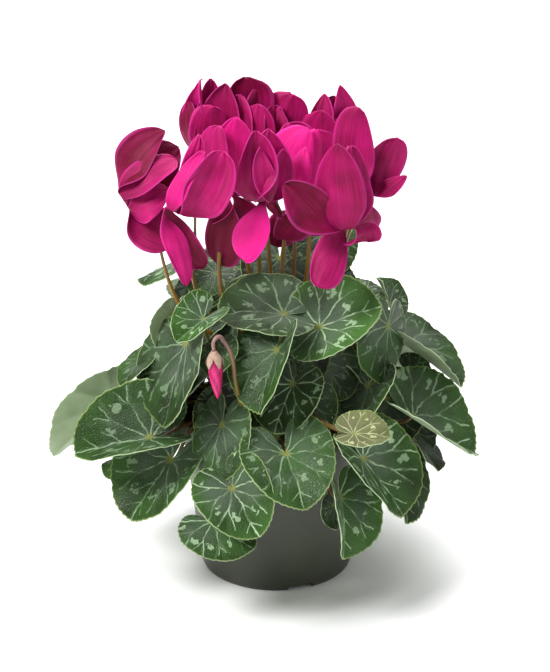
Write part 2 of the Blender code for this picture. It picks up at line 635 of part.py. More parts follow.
def make_bud(root, stem_mat, bud_mat):
    """Bud, calyx and stem, which grew as one piece."""
    points = [root + Vector((-5, -9, 14))] + [Vector(point) for point in BUD_ROUTE]
    tube = stalk("bud", [root] + points, [1.4] * 2 + [1.2] * (len(points) - 3) + [1.0] * 2, stem_mat, 2,
                 ends=(Vector((-1, -2, 7)), None))
    top, tip = Vector(BUD_ROUTE[-1]), Vector(BUD_TIP)
    length = (tip - top).length
    profile = [(0, -0.5), (1.6, 0), (4.6, 5), (4.4, 8), (4.2, 13), (3.4, 19), (2, 25), (0, length)]
    mesh = turned(profile, 10, "bud_body")
    turn = Vector((0, 0, 1)).rotation_difference(tip - top).to_matrix().to_4x4()
    mesh.transform(Matrix.Translation(top) @ turn)
    return combine(tube, [add_object("bud_body", mesh, bud_mat)])


def main():
    for old in list(bpy.data.objects):
        bpy.data.objects.remove(old)
    plastic = material("moulded_pot_plastic", (0.035, 0.039, 0.026), 0.45)
    soil = material("peat_substrate", (0.022, 0.014, 0.009), 0.95)
    corky = material("corky_tuber_skin", (0.09, 0.05, 0.03), 0.8)
    green = material("leaf_green", (0.045, 0.13, 0.05), 0.42)
    olive = material("flower_stem_olive", (0.16, 0.1, 0.02), 0.4)
    magenta = material("petal_magenta", (0.5, 0.01, 0.15), 0.5)

    make_pot(plastic)
    make_substrate(soil)
    make_tuber(corky)

    stems = [(atan2(flower.waist.y, flower.waist.x), flower.name) for flower in FLOWERS]
    stems.append((atan2(BUD_ROUTE[0][1], BUD_ROUTE[0][0]), "bud"))
    stem_azimuth = spread(stems, 3.35 / FLOWER_RING)
    for flower in FLOWERS:
        make_flower(flower, crown_point(stem_azimuth[flower.name], FLOWER_RING, STEM_RADIUS), magenta)
    make_bud(crown_point(stem_azimuth["bud"], FLOWER_RING, STEM_RADIUS), olive, magenta)

    azimuths = [(atan2(leaf.hub.y, leaf.hub.x), leaf) for leaf in LEAVES]
    high = spread([(place, leaf.name) for place, leaf in azimuths if leaf.hub.z >= OVER_RIM], 3.0 / HIGH_RING)
    lows = [(place, leaf.name) for place, leaf in azimuths if leaf.hub.z < OVER_RIM]
    low, over = spread(lows, 3.0 / LOW_RING), spread(lows, 3.6 / RIM_CLEAR)
    for leaf in LEAVES:
        if leaf.name in high:
            root = crown_point(high[leaf.name], HIGH_RING, STALK_RADIUS)
        else:
            root = crown_point(low[leaf.name], LOW_RING, STALK_RADIUS)
        make_leaf(leaf, root, over.get(leaf.name), green)


if __name__ == "__main__":
    main()
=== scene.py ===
# %% [markdown]
# # A potted cyclamen
# A florist's cyclamen is a mound of round, heart-shaped leaves on fleshy stalks, with a dozen
# nodding flowers standing above it. Every stalk rises from one corky tuber that sits half out of
# the soil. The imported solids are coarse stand-ins for collision, so this lesson grows a fine
# surface over each of them, from the same measurements, and gives it the look of the real thing.

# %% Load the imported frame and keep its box
from math import atan2, cos, exp, hypot, pi, radians, sin

import bmesh
import bpy
from mathutils import Matrix, Vector, noise


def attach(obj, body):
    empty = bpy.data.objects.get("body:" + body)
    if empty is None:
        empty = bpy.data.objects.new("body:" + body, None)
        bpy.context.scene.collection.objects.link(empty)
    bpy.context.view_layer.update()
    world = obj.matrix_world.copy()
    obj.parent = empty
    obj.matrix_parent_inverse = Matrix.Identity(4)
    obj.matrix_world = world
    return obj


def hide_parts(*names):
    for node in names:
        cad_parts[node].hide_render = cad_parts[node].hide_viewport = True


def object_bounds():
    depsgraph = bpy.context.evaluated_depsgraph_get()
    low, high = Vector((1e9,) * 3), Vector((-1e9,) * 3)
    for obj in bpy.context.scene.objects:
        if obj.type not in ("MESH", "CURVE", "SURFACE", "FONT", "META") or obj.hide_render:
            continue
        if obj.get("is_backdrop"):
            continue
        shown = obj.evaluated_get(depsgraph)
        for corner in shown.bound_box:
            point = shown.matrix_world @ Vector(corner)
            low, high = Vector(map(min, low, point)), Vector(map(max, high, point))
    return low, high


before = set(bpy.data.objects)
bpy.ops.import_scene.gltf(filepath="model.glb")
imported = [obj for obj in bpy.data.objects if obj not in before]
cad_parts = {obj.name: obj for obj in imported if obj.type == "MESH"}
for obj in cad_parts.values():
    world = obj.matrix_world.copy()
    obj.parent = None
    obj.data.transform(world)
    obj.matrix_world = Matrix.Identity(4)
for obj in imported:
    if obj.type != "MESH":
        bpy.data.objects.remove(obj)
cad_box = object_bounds()
MM = 0.001
print("solids in the frame:", len(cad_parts))

# %% [markdown]
# ## Working tools
# Colours are picked as sRGB hex values, the way a paint program shows them, but shaders add up
# light in linear values, so one function converts them. One more function adds any shader node:
# it takes the node's inputs by name or number, links the ones that are nodes and sets the rest.


# %% Colour and shader-node helpers
def colour(hex_code):
    """sRGB hex to linear red, green, blue and alpha."""
    parts = [int(hex_code[i:i + 2], 16) / 255 for i in (1, 3, 5)]
    return tuple(p / 12.92 if p <= 0.04045 else ((p + 0.055) / 1.055) ** 2.4 for p in parts) + (1.0,)


def node(tree, kind, inputs=None, output=None, **settings):
    """Add a node; returns its output socket."""
    made = tree.nodes.new("ShaderNode" + kind)
    for name, value in settings.items():
        setattr(made, name, value)
    for key, value in (inputs or {}).items():
        live = [socket for socket in made.inputs if socket.enabled]
        socket = live[key] if isinstance(key, int) else next(s for s in live if s.name == key)
        if isinstance(value, bpy.types.NodeSocket):
            tree.links.new(value, socket)
        else:
            socket.default_value = value
    live = [socket for socket in made.outputs if socket.enabled]
    return next((s for s in live if s.name == output), live[0] if live else None)


def material(name, roughness, ior=1.45):
    """A new material: its node tree and its Principled shader, with nothing patterned yet."""
    made = bpy.data.materials.new(name)
    made.use_nodes = True
    shader = made.node_tree.nodes["Principled BSDF"]
    shader.inputs["Roughness"].default_value = roughness
    shader.inputs["IOR"].default_value = ior
    return made, made.node_tree, shader


print("leaf green in linear values:", [round(c, 3) for c in colour("#2f6b3a")])

# %% [markdown]
# ## Floor, camera and light
# The plant stands on a pale floor under broad, soft light: one large panel high on the left, a
# weaker one on the right, and a bright even surround. The camera looks down by about 20 degrees
# from the height of the flowers through a long lens, so that nothing is distorted.

# %% Stage
bm = bmesh.new()
bmesh.ops.create_grid(bm, x_segments=1, y_segments=1, size=6.0)
floor_mesh = bpy.data.meshes.new("floor")
bm.to_mesh(floor_mesh)
bm.free()
floor = bpy.data.objects.new("floor", floor_mesh)
bpy.context.scene.collection.objects.link(floor)
paper, tree, shader = material("seamless_white_paper", 0.9)
shader.inputs["Base Color"].default_value = colour("#f7f7f7")
floor_mesh.materials.append(paper)
floor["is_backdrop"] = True

world = bpy.data.worlds.new("studio")
world.use_nodes = True
world.node_tree.nodes["Background"].inputs["Color"].default_value = colour("#ffffff")
world.node_tree.nodes["Background"].inputs["Strength"].default_value = 0.36
bpy.context.scene.world = world
bpy.context.scene.view_settings.view_transform = "Standard"


def panel(name, place, aim, size, power):
    """A soft square light."""
    light = bpy.data.lights.new(name, "AREA")
    light.size = size
    light.energy = power
    made = bpy.data.objects.new(name, light)
    made.location = place
    made.rotation_euler = (Vector(aim) - Vector(place)).to_track_quat("-Z", "Y").to_euler()
    bpy.context.scene.collection.objects.link(made)


panel("key_light", (-0.9, -0.8, 1.3), (0, 0, 0.2), 0.55, 34)
panel("fill_light", (1.2, -0.8, 0.9), (0, 0, 0.2), 0.8, 3)
panel("top_light", (0.1, 0.2, 1.5), (0, 0, 0.2), 0.8, 14)
panel("floor_light", (0, 1.7, 1.9), (0, 1.5, 0), 2.0, 55)

lens = bpy.data.cameras.new("camera")
lens.sensor_fit = "VERTICAL"
lens.sensor_height = 36
lens.lens = 116.6
camera = bpy.data.objects.new("camera", lens)
camera.location = (-0.0009, -1.2, 0.596)
camera.rotation_euler = (radians(90 - 20.59), 0, 0)
bpy.context.scene.collection.objects.link(camera)
bpy.context.scene.camera = camera
print("camera looks down by 20.6 degrees")

# %% [markdown]
# ## Leaf skin
# A cyclamen leaf is deep green and waxy, so it shows a broad, greyish sheen. Its pattern follows
# the way it grew: five ribs fan out from the stalk on each half, each rib forks in two past the
# middle, a ring of pale, frosted blotches lies between the ribs, and the margin is edged with a
# thin yellow-green line. All of that is worked out in the shader from the leaf's own flat map,
# where the stalk is at the centre and the tip at the right-hand side. A wandering noise bends the
# ribs and breaks the blotches up, so that no two leaves are the same.

# %% Leaf upper side
RIB_TURN = radians(36)        # angle between neighbouring ribs


def leaf_skin(name, dark, bright, inner, mark):
    """Waxy upper skin: darkest and brightest ground (the ends of its painted shade and light), ground near
    the stalk, marks.
    """
    made, tree, shader = material(name, 0.38)
    shader.inputs["Specular IOR Level"].default_value = 0.32
    place = node(tree, "TexCoord", output="Object")
    wander = node(tree, "TexNoise", {"Vector": place, "Scale": 75.0, "Detail": 3.0, "Roughness": 0.6},
                  output="Color")
    flat = node(tree, "UVMap", uv_map="disc")
    flat = node(tree, "VectorMath", {0: flat, 1: (2, 2, 0), 2: (-1, -1, 0)}, operation="MULTIPLY_ADD")
    shift = node(tree, "VectorMath", {0: wander, 1: (0.16, 0.16, 0), 2: (-0.08, -0.08, 0)},
                 operation="MULTIPLY_ADD")
    bent = node(tree, "VectorMath", {0: flat, 1: shift}, operation="ADD")
    along = node(tree, "SeparateXYZ", {0: bent}, output="X")
    across = node(tree, "SeparateXYZ", {0: bent}, output="Y")
    reach = node(tree, "VectorMath", {0: bent}, output="Value", operation="LENGTH")
    angle = node(tree, "Math", {0: across, 1: along}, operation="ARCTAN2")

    # nearest rib, and the signed distance from it
    count = node(tree, "Math", {0: angle, 1: RIB_TURN}, operation="DIVIDE")
    rib = node(tree, "Math", {0: count}, operation="ROUND")
    off = node(tree, "Math", {0: count, 1: rib}, operation="SUBTRACT")
    off = node(tree, "Math", {0: off}, operation="ABSOLUTE")
    lateral = node(tree, "Math", {0: off, 1: RIB_TURN}, operation="MULTIPLY")
    lateral = node(tree, "Math", {0: lateral, 1: reach}, operation="MULTIPLY")
    is_side = node(tree, "Math", {0: rib}, operation="ABSOLUTE")
    is_side = node(tree, "Math", {0: is_side, 1: 1.0}, operation="MINIMUM")

    # each side rib forks past its own point
    luck = node(tree, "Attribute", attribute_name="luck", output="Fac")
    seed = node(tree, "CombineXYZ", {"X": rib, "Y": luck})
    dice = node(tree, "TexWhiteNoise", {"Vector": seed}, output="Value", noise_dimensions="3D")
    fork_at = node(tree, "MapRange", {"Value": dice, "To Min": 0.38, "To Max": 0.62})
    past = node(tree, "Math", {0: reach, 1: fork_at}, operation="SUBTRACT")
    past = node(tree, "Math", {0: past, 1: 0.0}, operation="MAXIMUM")
    spread_out = node(tree, "Math", {0: past, 1: 0.42}, operation="MULTIPLY")
    spread_out = node(tree, "Math", {0: spread_out, 1: is_side}, operation="MULTIPLY")
    gap = node(tree, "Math", {0: lateral, 1: spread_out}, operation="SUBTRACT")
    gap = node(tree, "Math", {0: gap}, operation="ABSOLUTE")
    end_at = node(tree, "MapRange", {"Value": dice, "To Min": 0.86, "To Max": 0.74})
    far = node(tree, "Math", {0: reach, 1: end_at}, operation="GREATER_THAN")
    far = node(tree, "Math", {0: far, 1: is_side}, operation="MULTIPLY")
    gap = node(tree, "Math", {0: gap, 1: far}, operation="ADD")

    # the midrib throws off two pairs of side ribs
    near = node(tree, "Math", {0: across}, operation="ABSOLUTE")
    for start, stop, steep in ((0.36, 0.62, 0.72), (0.7, 0.86, 0.95)):
        run = node(tree, "Math", {0: along, 1: -start}, operation="ADD")
        slant = node(tree, "Math", {0: run, 1: steep}, operation="MULTIPLY")
        slant = node(tree, "Math", {0: near, 1: slant}, operation="SUBTRACT")
        slant = node(tree, "Math", {0: slant}, operation="ABSOLUTE")
        middle = node(tree, "Math", {0: along, 1: (start + stop) / 2}, operation="SUBTRACT")
        middle = node(tree, "Math", {0: middle}, operation="ABSOLUTE")
        outside = node(tree, "Math", {0: middle, 1: (stop - start) / 2}, operation="GREATER_THAN")
        slant = node(tree, "Math", {0: slant, 1: outside}, operation="ADD")
        gap = node(tree, "Math", {0: gap, 1: slant}, operation="MINIMUM")
    ribs = node(tree, "MapRange", {"Value": gap, "From Min": 0.004, "From Max": 0.019, "To Min": 1.0,
                                   "To Max": 0.0}, interpolation_type="SMOOTHSTEP")
    patchy = node(tree, "TexNoise", {"Vector": place, "Scale": 130.0, "Detail": 1.0}, output="Factor")
    strength = node(tree, "MapRange", {"Value": patchy, "From Min": 0.38, "From Max": 0.56,
                                       "To Min": 0.25, "To Max": 1.0})
    ribs = node(tree, "Math", {0: ribs, 1: strength}, operation="MULTIPLY")

    # frosted blotches between the ribs
    ragged = node(tree, "TexNoise", {"Vector": place, "Scale": 330.0, "Detail": 3.0}, output="Factor")
    ring = node(tree, "Math", {0: reach, 1: 0.57}, operation="SUBTRACT")
    ring = node(tree, "Math", {0: ring, 1: 11.0}, operation="MULTIPLY")
    ring = node(tree, "Math", {0: ring, 1: 2.0}, operation="POWER")
    between = node(tree, "Math", {0: 0.5, 1: off}, operation="SUBTRACT")
    between = node(tree, "Math", {0: between, 1: 4.4}, operation="MULTIPLY")
    between = node(tree, "Math", {0: between, 1: 2.0}, operation="POWER")
    blotch = node(tree, "Math", {0: ring, 1: between}, operation="ADD")
    rough = node(tree, "MapRange", {"Value": ragged, "From Min": 0.3, "From Max": 0.7, "To Min": -1.5,
                                    "To Max": 1.5})
    blotch = node(tree, "Math", {0: blotch, 1: rough}, operation="ADD")
    chance = node(tree, "MapRange", {"Value": patchy, "From Min": 0.35, "From Max": 0.65, "To Min": 1.0,
                                     "To Max": -0.7})
    blotch = node(tree, "Math", {0: blotch, 1: chance}, operation="ADD")
    blotch = node(tree, "MapRange", {"Value": blotch, "From Min": 0.15, "From Max": 0.6, "To Min": 0.75,
                                     "To Max": 0.0}, interpolation_type="SMOOTHSTEP")
    marks = node(tree, "Math", {0: ribs, 1: blotch}, operation="MAXIMUM")
    vigour = node(tree, "Attribute", attribute_name="vigour", output="Fac")
    marks = node(tree, "Math", {0: marks, 1: vigour}, operation="MULTIPLY")

    # ground colour: a tone per leaf, partly its own colour and partly painted light and shade,
    # bluish near the stalk, fresher towards the margin
    tone = node(tree, "Attribute", attribute_name="tone", output="Fac")
    cloud = node(tree, "TexNoise", {"Vector": place, "Scale": 55.0, "Detail": 4.0}, output="Factor")
    cloud = node(tree, "MapRange", {"Value": cloud, "From Min": 0.3, "From Max": 0.7, "To Min": -0.25,
                                    "To Max": 0.25})
    tone = node(tree, "Math", {0: tone, 1: cloud}, operation="ADD", use_clamp=True)
    ground = node(tree, "Mix", {0: tone, 1: colour(dark), 2: colour(bright)}, data_type="RGBA")
    core = node(tree, "MapRange", {"Value": reach, "From Min": 0.35, "From Max": 0.78, "To Min": 0.8,
                                   "To Max": 0.0}, interpolation_type="SMOOTHSTEP")
    frost = node(tree, "TexNoise", {"Vector": place, "Scale": 38.0, "Detail": 3.0}, output="Factor")
    frost = node(tree, "MapRange", {"Value": frost, "From Min": 0.38, "From Max": 0.6, "To Min": 0.15})
    core = node(tree, "Math", {0: core, 1: frost}, operation="MULTIPLY")
    ground = node(tree, "Mix", {0: core, 1: ground, 2: colour(inner)}, data_type="RGBA")
    skin = node(tree, "Mix", {0: marks, 1: ground, 2: colour(mark)}, data_type="RGBA")
    hub = node(tree, "MapRange", {"Value": reach, "From Min": 0.03, "From Max": 0.1, "To Min": 0.85,
                                  "To Max": 0.0}, interpolation_type="SMOOTHSTEP")
    skin = node(tree, "Mix", {0: hub, 1: skin, 2: colour("#76782f")}, data_type="RGBA")
    edge = node(tree, "Attribute", attribute_name="edge", output="Fac")
    margin = node(tree, "MapRange", {"Value": edge, "From Min": 0.978, "From Max": 0.992, "To Min": 0.0,
                                     "To Max": 0.6})
    skin = node(tree, "Mix", {0: margin, 1: skin, 2: colour("#8fa45c")}, data_type="RGBA")
    tree.links.new(skin, shader.inputs["Base Color"])

    # fine quilting between a net of veinlets about 1.5 mm apart; the ribs lie in shallow grooves
    net = node(tree, "TexVoronoi", {"Vector": place, "Scale": 650.0}, output="Distance",
               feature="DISTANCE_TO_EDGE")
    net = node(tree, "MapRange", {"Value": net, "From Min": 0.0, "From Max": 0.25, "To Min": 0.0,
                                  "To Max": 0.5}, interpolation_type="SMOOTHSTEP")
    groove = node(tree, "Math", {0: ribs, 1: -0.6, 2: net}, operation="MULTIPLY_ADD")
    bump = node(tree, "Bump", {"Strength": 0.8, "Distance": 0.0005, "Height": groove})
    tree.links.new(bump, shader.inputs["Normal"])
    gloss = node(tree, "MapRange", {"Value": cloud, "From Min": -0.25, "From Max": 0.25, "To Min": 0.34,
                                    "To Max": 0.5})
    tree.links.new(gloss, shader.inputs["Roughness"])
    return made


leaf_upper = leaf_skin("waxy_leaf_skin", "#101c05", "#375f1f", "#4d5b4a", "#a2be97")
young_upper = leaf_skin("young_leaf_skin", "#4a4e2c", "#6f7544", "#5e5e46", "#c6ca9c")
print("leaf skins:", leaf_upper.name, young_upper.name)

# %% [markdown]
# ## Leaf underside and stalks
# The underside has no wax: it is pale, matt grey-green and its ribs stand proud. The leaf stalks
# are fleshy and smooth, olive turning brownish red, and the flower stems are browner still.


# %% Underside and stalk finishes
def stalk_skin(name, low, high, bottom, top):
    """Fleshy stalk whose colour changes with height, in metres, from bottom to top."""
    made, tree, shader = material(name, 0.36)
    place = node(tree, "TexCoord", output="Object")
    height = node(tree, "SeparateXYZ", {0: place}, output="Z")
    blur = node(tree, "TexNoise", {"Vector": place, "Scale": 90.0, "Detail": 3.0}, output="Factor")
    blur = node(tree, "MapRange", {"Value": blur, "To Min": -0.5, "To Max": 0.5})
    share = node(tree, "MapRange", {"Value": height, "From Min": bottom, "From Max": top})
    share = node(tree, "Math", {0: share, 1: blur}, operation="ADD", use_clamp=True)
    skin = node(tree, "Mix", {0: share, 1: colour(low), 2: colour(high)}, data_type="RGBA")
    tree.links.new(skin, shader.inputs["Base Color"])
    ridges = node(tree, "Mapping", {"Vector": place, "Scale": (1400.0, 1400.0, 60.0)})
    fibre = node(tree, "TexNoise", {"Vector": ridges, "Scale": 1.0, "Detail": 2.0}, output="Factor")
    bump = node(tree, "Bump", {"Strength": 0.25, "Distance": 0.0003, "Height": fibre})
    tree.links.new(bump, shader.inputs["Normal"])
    shader.inputs["Subsurface Weight"].default_value = 0.08
    shader.inputs["Subsurface Radius"].default_value = (0.002, 0.001, 0.0005)
    return made


leaf_under, tree, shader = material("matt_leaf_underside", 0.55)
place = node(tree, "TexCoord", output="Object")
cloud = node(tree, "TexNoise", {"Vector": place, "Scale": 60.0, "Detail": 4.0}, output="Factor")
under = node(tree, "Mix", {0: cloud, 1: colour("#7f9868"), 2: colour("#b4c4a4")}, data_type="RGBA")
tree.links.new(under, shader.inputs["Base Color"])
veinlets = node(tree, "TexVoronoi", {"Vector": place, "Scale": 500.0}, output="Distance",
                feature="DISTANCE_TO_EDGE")
bump = node(tree, "Bump", {"Strength": 0.4, "Distance": 0.0003, "Height": veinlets}, invert=True)
tree.links.new(bump, shader.inputs["Normal"])

petiole_skin = stalk_skin("fleshy_leaf_stalk", "#52351c", "#6b6430", 0.1, 0.17)
stem_skin = stalk_skin("fleshy_flower_stem", "#8a6420", "#55451c", 0.17, 0.235)
bud_stem_skin = stalk_skin("mauve_bud_stem", "#6e5a1c", "#8d6a68", 0.15, 0.175)
print("stalk finishes:", petiole_skin.name, stem_skin.name)

# %% [markdown]
# ## Shared shaping tools
# Leaf outlines and petal widths are given as short tables read with a smooth curve, so that a few
# rows describe a rounded edge. Stalks are Bezier curves with a round bevel, turned into meshes so
# that their ends can be closed. A finished mesh is made in millimetres and becomes an object in
# metres with its place in the mesh.


# %% Reading tables, finishing meshes, drawing stalks
def smooth_read(table, place):
    """Read (place, value) rows along a curve that passes through every row."""
    last = len(table) - 1
    here = next((i for i in range(last) if place <= table[i + 1][0]), last - 1)
    (x0, y0), (x1, y1) = table[here], table[here + 1]
    width = x1 - x0
    share = min(max((place - x0) / width, 0), 1)

    def slope(i):
        low, high = table[max(i - 1, 0)], table[min(i + 1, last)]
        return (high[1] - low[1]) / (high[0] - low[0])

    square, cube = share * share, share ** 3
    return (y0 * (2 * cube - 3 * square + 1) + y1 * (3 * square - 2 * cube)
            + width * (slope(here) * (cube - 2 * square + share) + slope(here + 1) * (cube - square)))


def finish_piece(name, mesh, materials):
    """Link a mesh given in millimetres as an object in metres, shaded smooth."""
    mesh.transform(Matrix.Scale(MM, 4))
    mesh.materials.clear()
    for finish in materials:
        mesh.materials.append(finish)
    mesh.shade_smooth()
    made = bpy.data.objects.new(name, mesh)
    bpy.context.scene.collection.objects.link(made)
    return made


def close_mesh(bm, name, outward=True):
    if outward:
        bmesh.ops.recalc_face_normals(bm, faces=bm.faces)
    mesh = bpy.data.meshes.new(name)
    bm.to_mesh(mesh)
    bm.free()
    return mesh


def turned(profile, segments, name):
    """Spin a profile of (radius, height) rows about the Z axis."""
    bm = bmesh.new()
    rows = [bm.verts.new((radius, 0, height)) for radius, height in profile]
    edges = [bm.edges.new(pair) for pair in zip(rows, rows[1:])]
    if profile[0][0] > 0:
        edges.append(bm.edges.new((rows[-1], rows[0])))
    bmesh.ops.spin(bm, geom=rows + edges, axis=(0, 0, 1), cent=(0, 0, 0), angle=2 * pi,
                   steps=segments, use_merge=True)
    bmesh.ops.remove_doubles(bm, verts=bm.verts, dist=1e-4)
    return close_mesh(bm, name)


def stalk(name, points, radii, resolution=10, sides=3, ends=(None, None)):
    """A round stalk through the points; ends are its directions at the first and last point."""
    curve = bpy.data.curves.new(name, "CURVE")
    curve.dimensions = "3D"
    curve.bevel_depth = 1.0
    curve.bevel_resolution = sides
    curve.use_fill_caps = True
    curve.resolution_u = resolution
    line = curve.splines.new("BEZIER")
    line.bezier_points.add(len(points) - 1)
    for knot, point, radius in zip(line.bezier_points, points, radii):
        knot.co = point
        knot.radius = radius
        knot.handle_left_type = knot.handle_right_type = "AUTO"
    drawn = bpy.data.objects.new(name, curve)
    bpy.context.scene.collection.objects.link(drawn)
    bpy.context.view_layer.update()
    first, last = line.bezier_points[0], line.bezier_points[-1]
    if ends[0]:
        first.handle_right_type = "FREE"
        first.handle_right = first.co + ends[0]
    if ends[1]:
        last.handle_left_type = "FREE"
        last.handle_left = last.co - ends[1]
    bpy.context.view_layer.update()
    mesh = bpy.data.meshes.new_from_object(drawn.evaluated_get(bpy.context.evaluated_depsgraph_get()))
    bpy.data.objects.remove(drawn)
    bm = bmesh.new()
    bm.from_mesh(mesh)
    bmesh.ops.remove_doubles(bm, verts=bm.verts, dist=1e-4)
    return close_mesh(bm, name)


print("outline halfway:", round(smooth_read(((0, 1.0), (1, 0.5), (2, 0.4)), 0.5), 3))

# %% [markdown]
# ## The grow pot
# The pot is one thin moulding with draft, so it narrows towards its foot, with a thicker band
# under the rim, a rounded lower edge, and three shallow notches that let water drain away from
# under it. It is turned as one profile and the notches and drain holes are cut out of it.

# %% Pot plastic
pot_plastic, tree, shader = material("moulded_polypropylene", 0.42, ior=1.49)
place = node(tree, "TexCoord", output="Object")
height = node(tree, "SeparateXYZ", {0: place}, output="Z")
haze = node(tree, "TexNoise", {"Vector": place, "Scale": 28.0, "Detail": 4.0}, output="Factor")
haze = node(tree, "MapRange", {"Value": haze, "From Min": 0.35, "From Max": 0.65})
body = node(tree, "Mix", {0: haze, 1: colour("#2e3026"), 2: colour("#373b2c")}, data_type="RGBA")
tree.links.new(body, shader.inputs["Base Color"])
grain = node(tree, "TexNoise", {"Vector": place, "Scale": 2500.0, "Detail": 1.0}, output="Factor")
flow = node(tree, "TexWave", {"Vector": place, "Scale": 60.0, "Distortion": 1.5, "Detail": 2.0},
            output="Factor", bands_direction="Z")
relief = node(tree, "Math", {0: flow, 1: 0.15, 2: grain}, operation="MULTIPLY_ADD")
bump = node(tree, "Bump", {"Strength": 0.12, "Distance": 0.0002, "Height": relief})
tree.links.new(bump, shader.inputs["Normal"])
gloss = node(tree, "MapRange", {"Value": haze, "To Min": 0.4, "To Max": 0.5})
tree.links.new(gloss, shader.inputs["Roughness"])

# %% Pot shape
RIM_RADIUS, BASE_RADIUS, POT_HEIGHT, WALL, RIM_BAND = 60.0, 45.0, 100.0, 1.5, 9.0
FOOT_RISE, PAD_RADIUS, FOOT_WIDTH = 3.6, 24.0, 4.5
NOTCH_WIDTH, NOTCH_START = 16.0, -71.0
HOLE_RADIUS, HOLE_RING = 3.5, 33.0


def outer_radius(height):
    """Outer radius of the pot's wall, which narrows by its draft."""
    return BASE_RADIUS + (RIM_RADIUS - 2.0 - BASE_RADIUS) * height / POT_HEIGHT


floor_top, band = FOOT_RISE + WALL, POT_HEIGHT - RIM_BAND
pot_profile = [
    (0, 0), (PAD_RADIUS, 0), (PAD_RADIUS + 2.5, FOOT_RISE),
    (BASE_RADIUS - FOOT_WIDTH - 1, FOOT_RISE), (BASE_RADIUS - FOOT_WIDTH, 0),
    (BASE_RADIUS - 2.6, 0), (BASE_RADIUS - 1.5, 0.25), (BASE_RADIUS - 0.7, 0.9),
    (BASE_RADIUS - 0.1, 2.0), (outer_radius(3.6), 3.6), (outer_radius(30), 30),
    (outer_radius(60), 60), (outer_radius(band - 1.5), band - 1.5), (RIM_RADIUS - 0.5, band - 0.2),
    (RIM_RADIUS, band + 0.6), (RIM_RADIUS, POT_HEIGHT - 1), (RIM_RADIUS - 0.3, POT_HEIGHT - 0.3),
    (RIM_RADIUS - 1, POT_HEIGHT), (RIM_RADIUS - 2.4, POT_HEIGHT), (RIM_RADIUS - 3.2, POT_HEIGHT - 1),
    (outer_radius(band - 3) - WALL, band - 3), (outer_radius(floor_top) - WALL, floor_top),
    (PAD_RADIUS + 1.5, floor_top), (PAD_RADIUS - 1, WALL), (0, WALL),
]
pot = finish_piece("grow_pot", turned(pot_profile, 128, "grow_pot"), [pot_plastic])
cutters = []
for number in range(3):
    bm = bmesh.new()
    bmesh.ops.create_cube(bm, size=1)
    bmesh.ops.scale(bm, vec=(12, NOTCH_WIDTH, 2 * FOOT_RISE - 0.4), verts=bm.verts)
    top = [e for e in bm.edges if all(v.co.z > 0 and v.co.y * e.verts[0].co.y > 0 for v in e.verts)]
    bmesh.ops.bevel(bm, geom=top, offset=2.2, offset_type="OFFSET", segments=6, profile=0.5,
                    affect="EDGES", material=-1)
    turn = Matrix.Rotation(radians(NOTCH_START + 120 * number), 4, "Z")
    bmesh.ops.transform(bm, matrix=turn @ Matrix.Translation((BASE_RADIUS - 1, 0, 0)), verts=bm.verts)
    cutters.append(finish_piece(f"notch_{number}", close_mesh(bm, "notch"), [pot_plastic]))
for number in range(6):
    bm = bmesh.new()
    bmesh.ops.create_cone(bm, cap_ends=True, segments=24, radius1=HOLE_RADIUS, radius2=HOLE_RADIUS, depth=6)
    turn = Matrix.Rotation(radians(NOTCH_START + 30 + 60 * number), 4, "Z")
    bmesh.ops.transform(bm, matrix=turn @ Matrix.Translation((HOLE_RING, 0, FOOT_RISE + 1)), verts=bm.verts)
    cutters.append(finish_piece(f"drain_{number}", close_mesh(bm, "drain"), [pot_plastic]))
for cutter in cutters:
    cut = pot.modifiers.new("cut", "BOOLEAN")
    cut.operation, cut.solver, cut.object = "DIFFERENCE", "EXACT", cutter
bpy.context.view_layer.update()
pot.data = bpy.data.meshes.new_from_object(pot.evaluated_get(bpy.context.evaluated_depsgraph_get()))
pot.modifiers.clear()
for cutter in cutters:
    bpy.data.objects.remove(cutter)
edge = pot.modifiers.new("broken_edges", "BEVEL")
edge.width, edge.segments, edge.limit_method, edge.angle_limit = 0.35 * MM, 2, "ANGLE", radians(40)
pot.data.set_sharp_from_angle(angle=radians(40))
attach(pot, "root")
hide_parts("pot")
print("pot faces:", len(pot.data.polygons))

# %% [markdown]
# ## Soil and tuber
# Potting soil is crumbly peat with bits of bark. Its top is a turned bowl whose upper side is
# pushed up and down by noise, with loose crumbs scattered over it. The tuber is a flattened corky
# dome that the stalks crowd out of.

# %% Soil and cork finishes
peat, tree, shader = material("damp_peat", 0.95)
place = node(tree, "TexCoord", output="Object")
crumb = node(tree, "TexNoise", {"Vector": place, "Scale": 420.0, "Detail": 6.0, "Roughness": 0.7},
             output="Factor")
ramp = node(tree, "MapRange", {"Value": crumb, "From Min": 0.35, "From Max": 0.7})
skin = node(tree, "Mix", {0: ramp, 1: colour("#1a120c"), 2: colour("#4a3626")}, data_type="RGBA")
tree.links.new(skin, shader.inputs["Base Color"])
bump = node(tree, "Bump", {"Strength": 0.9, "Distance": 0.0008, "Height": crumb})
tree.links.new(bump, shader.inputs["Normal"])

cork, tree, shader = material("corky_tuber_skin", 0.8)
place = node(tree, "TexCoord", output="Object")
bark = node(tree, "TexVoronoi", {"Vector": place, "Scale": 260.0}, output="Distance",
            feature="DISTANCE_TO_EDGE")
stain = node(tree, "TexNoise", {"Vector": place, "Scale": 120.0, "Detail": 5.0}, output="Factor")
skin = node(tree, "Mix", {0: stain, 1: colour("#3a2417"), 2: colour("#8a6446")}, data_type="RGBA")
tree.links.new(skin, shader.inputs["Base Color"])
bump = node(tree, "Bump", {"Strength": 0.7, "Distance": 0.0006, "Height": bark})
tree.links.new(bump, shader.inputs["Normal"])

# %% Soil, crumbs and tuber shapes
SOIL_TOP, GAP = 88.0, 0.3
TUBER_RADIUS, TUBER_TOP, TUBER_BOTTOM = 24.0, 98.0, 70.0


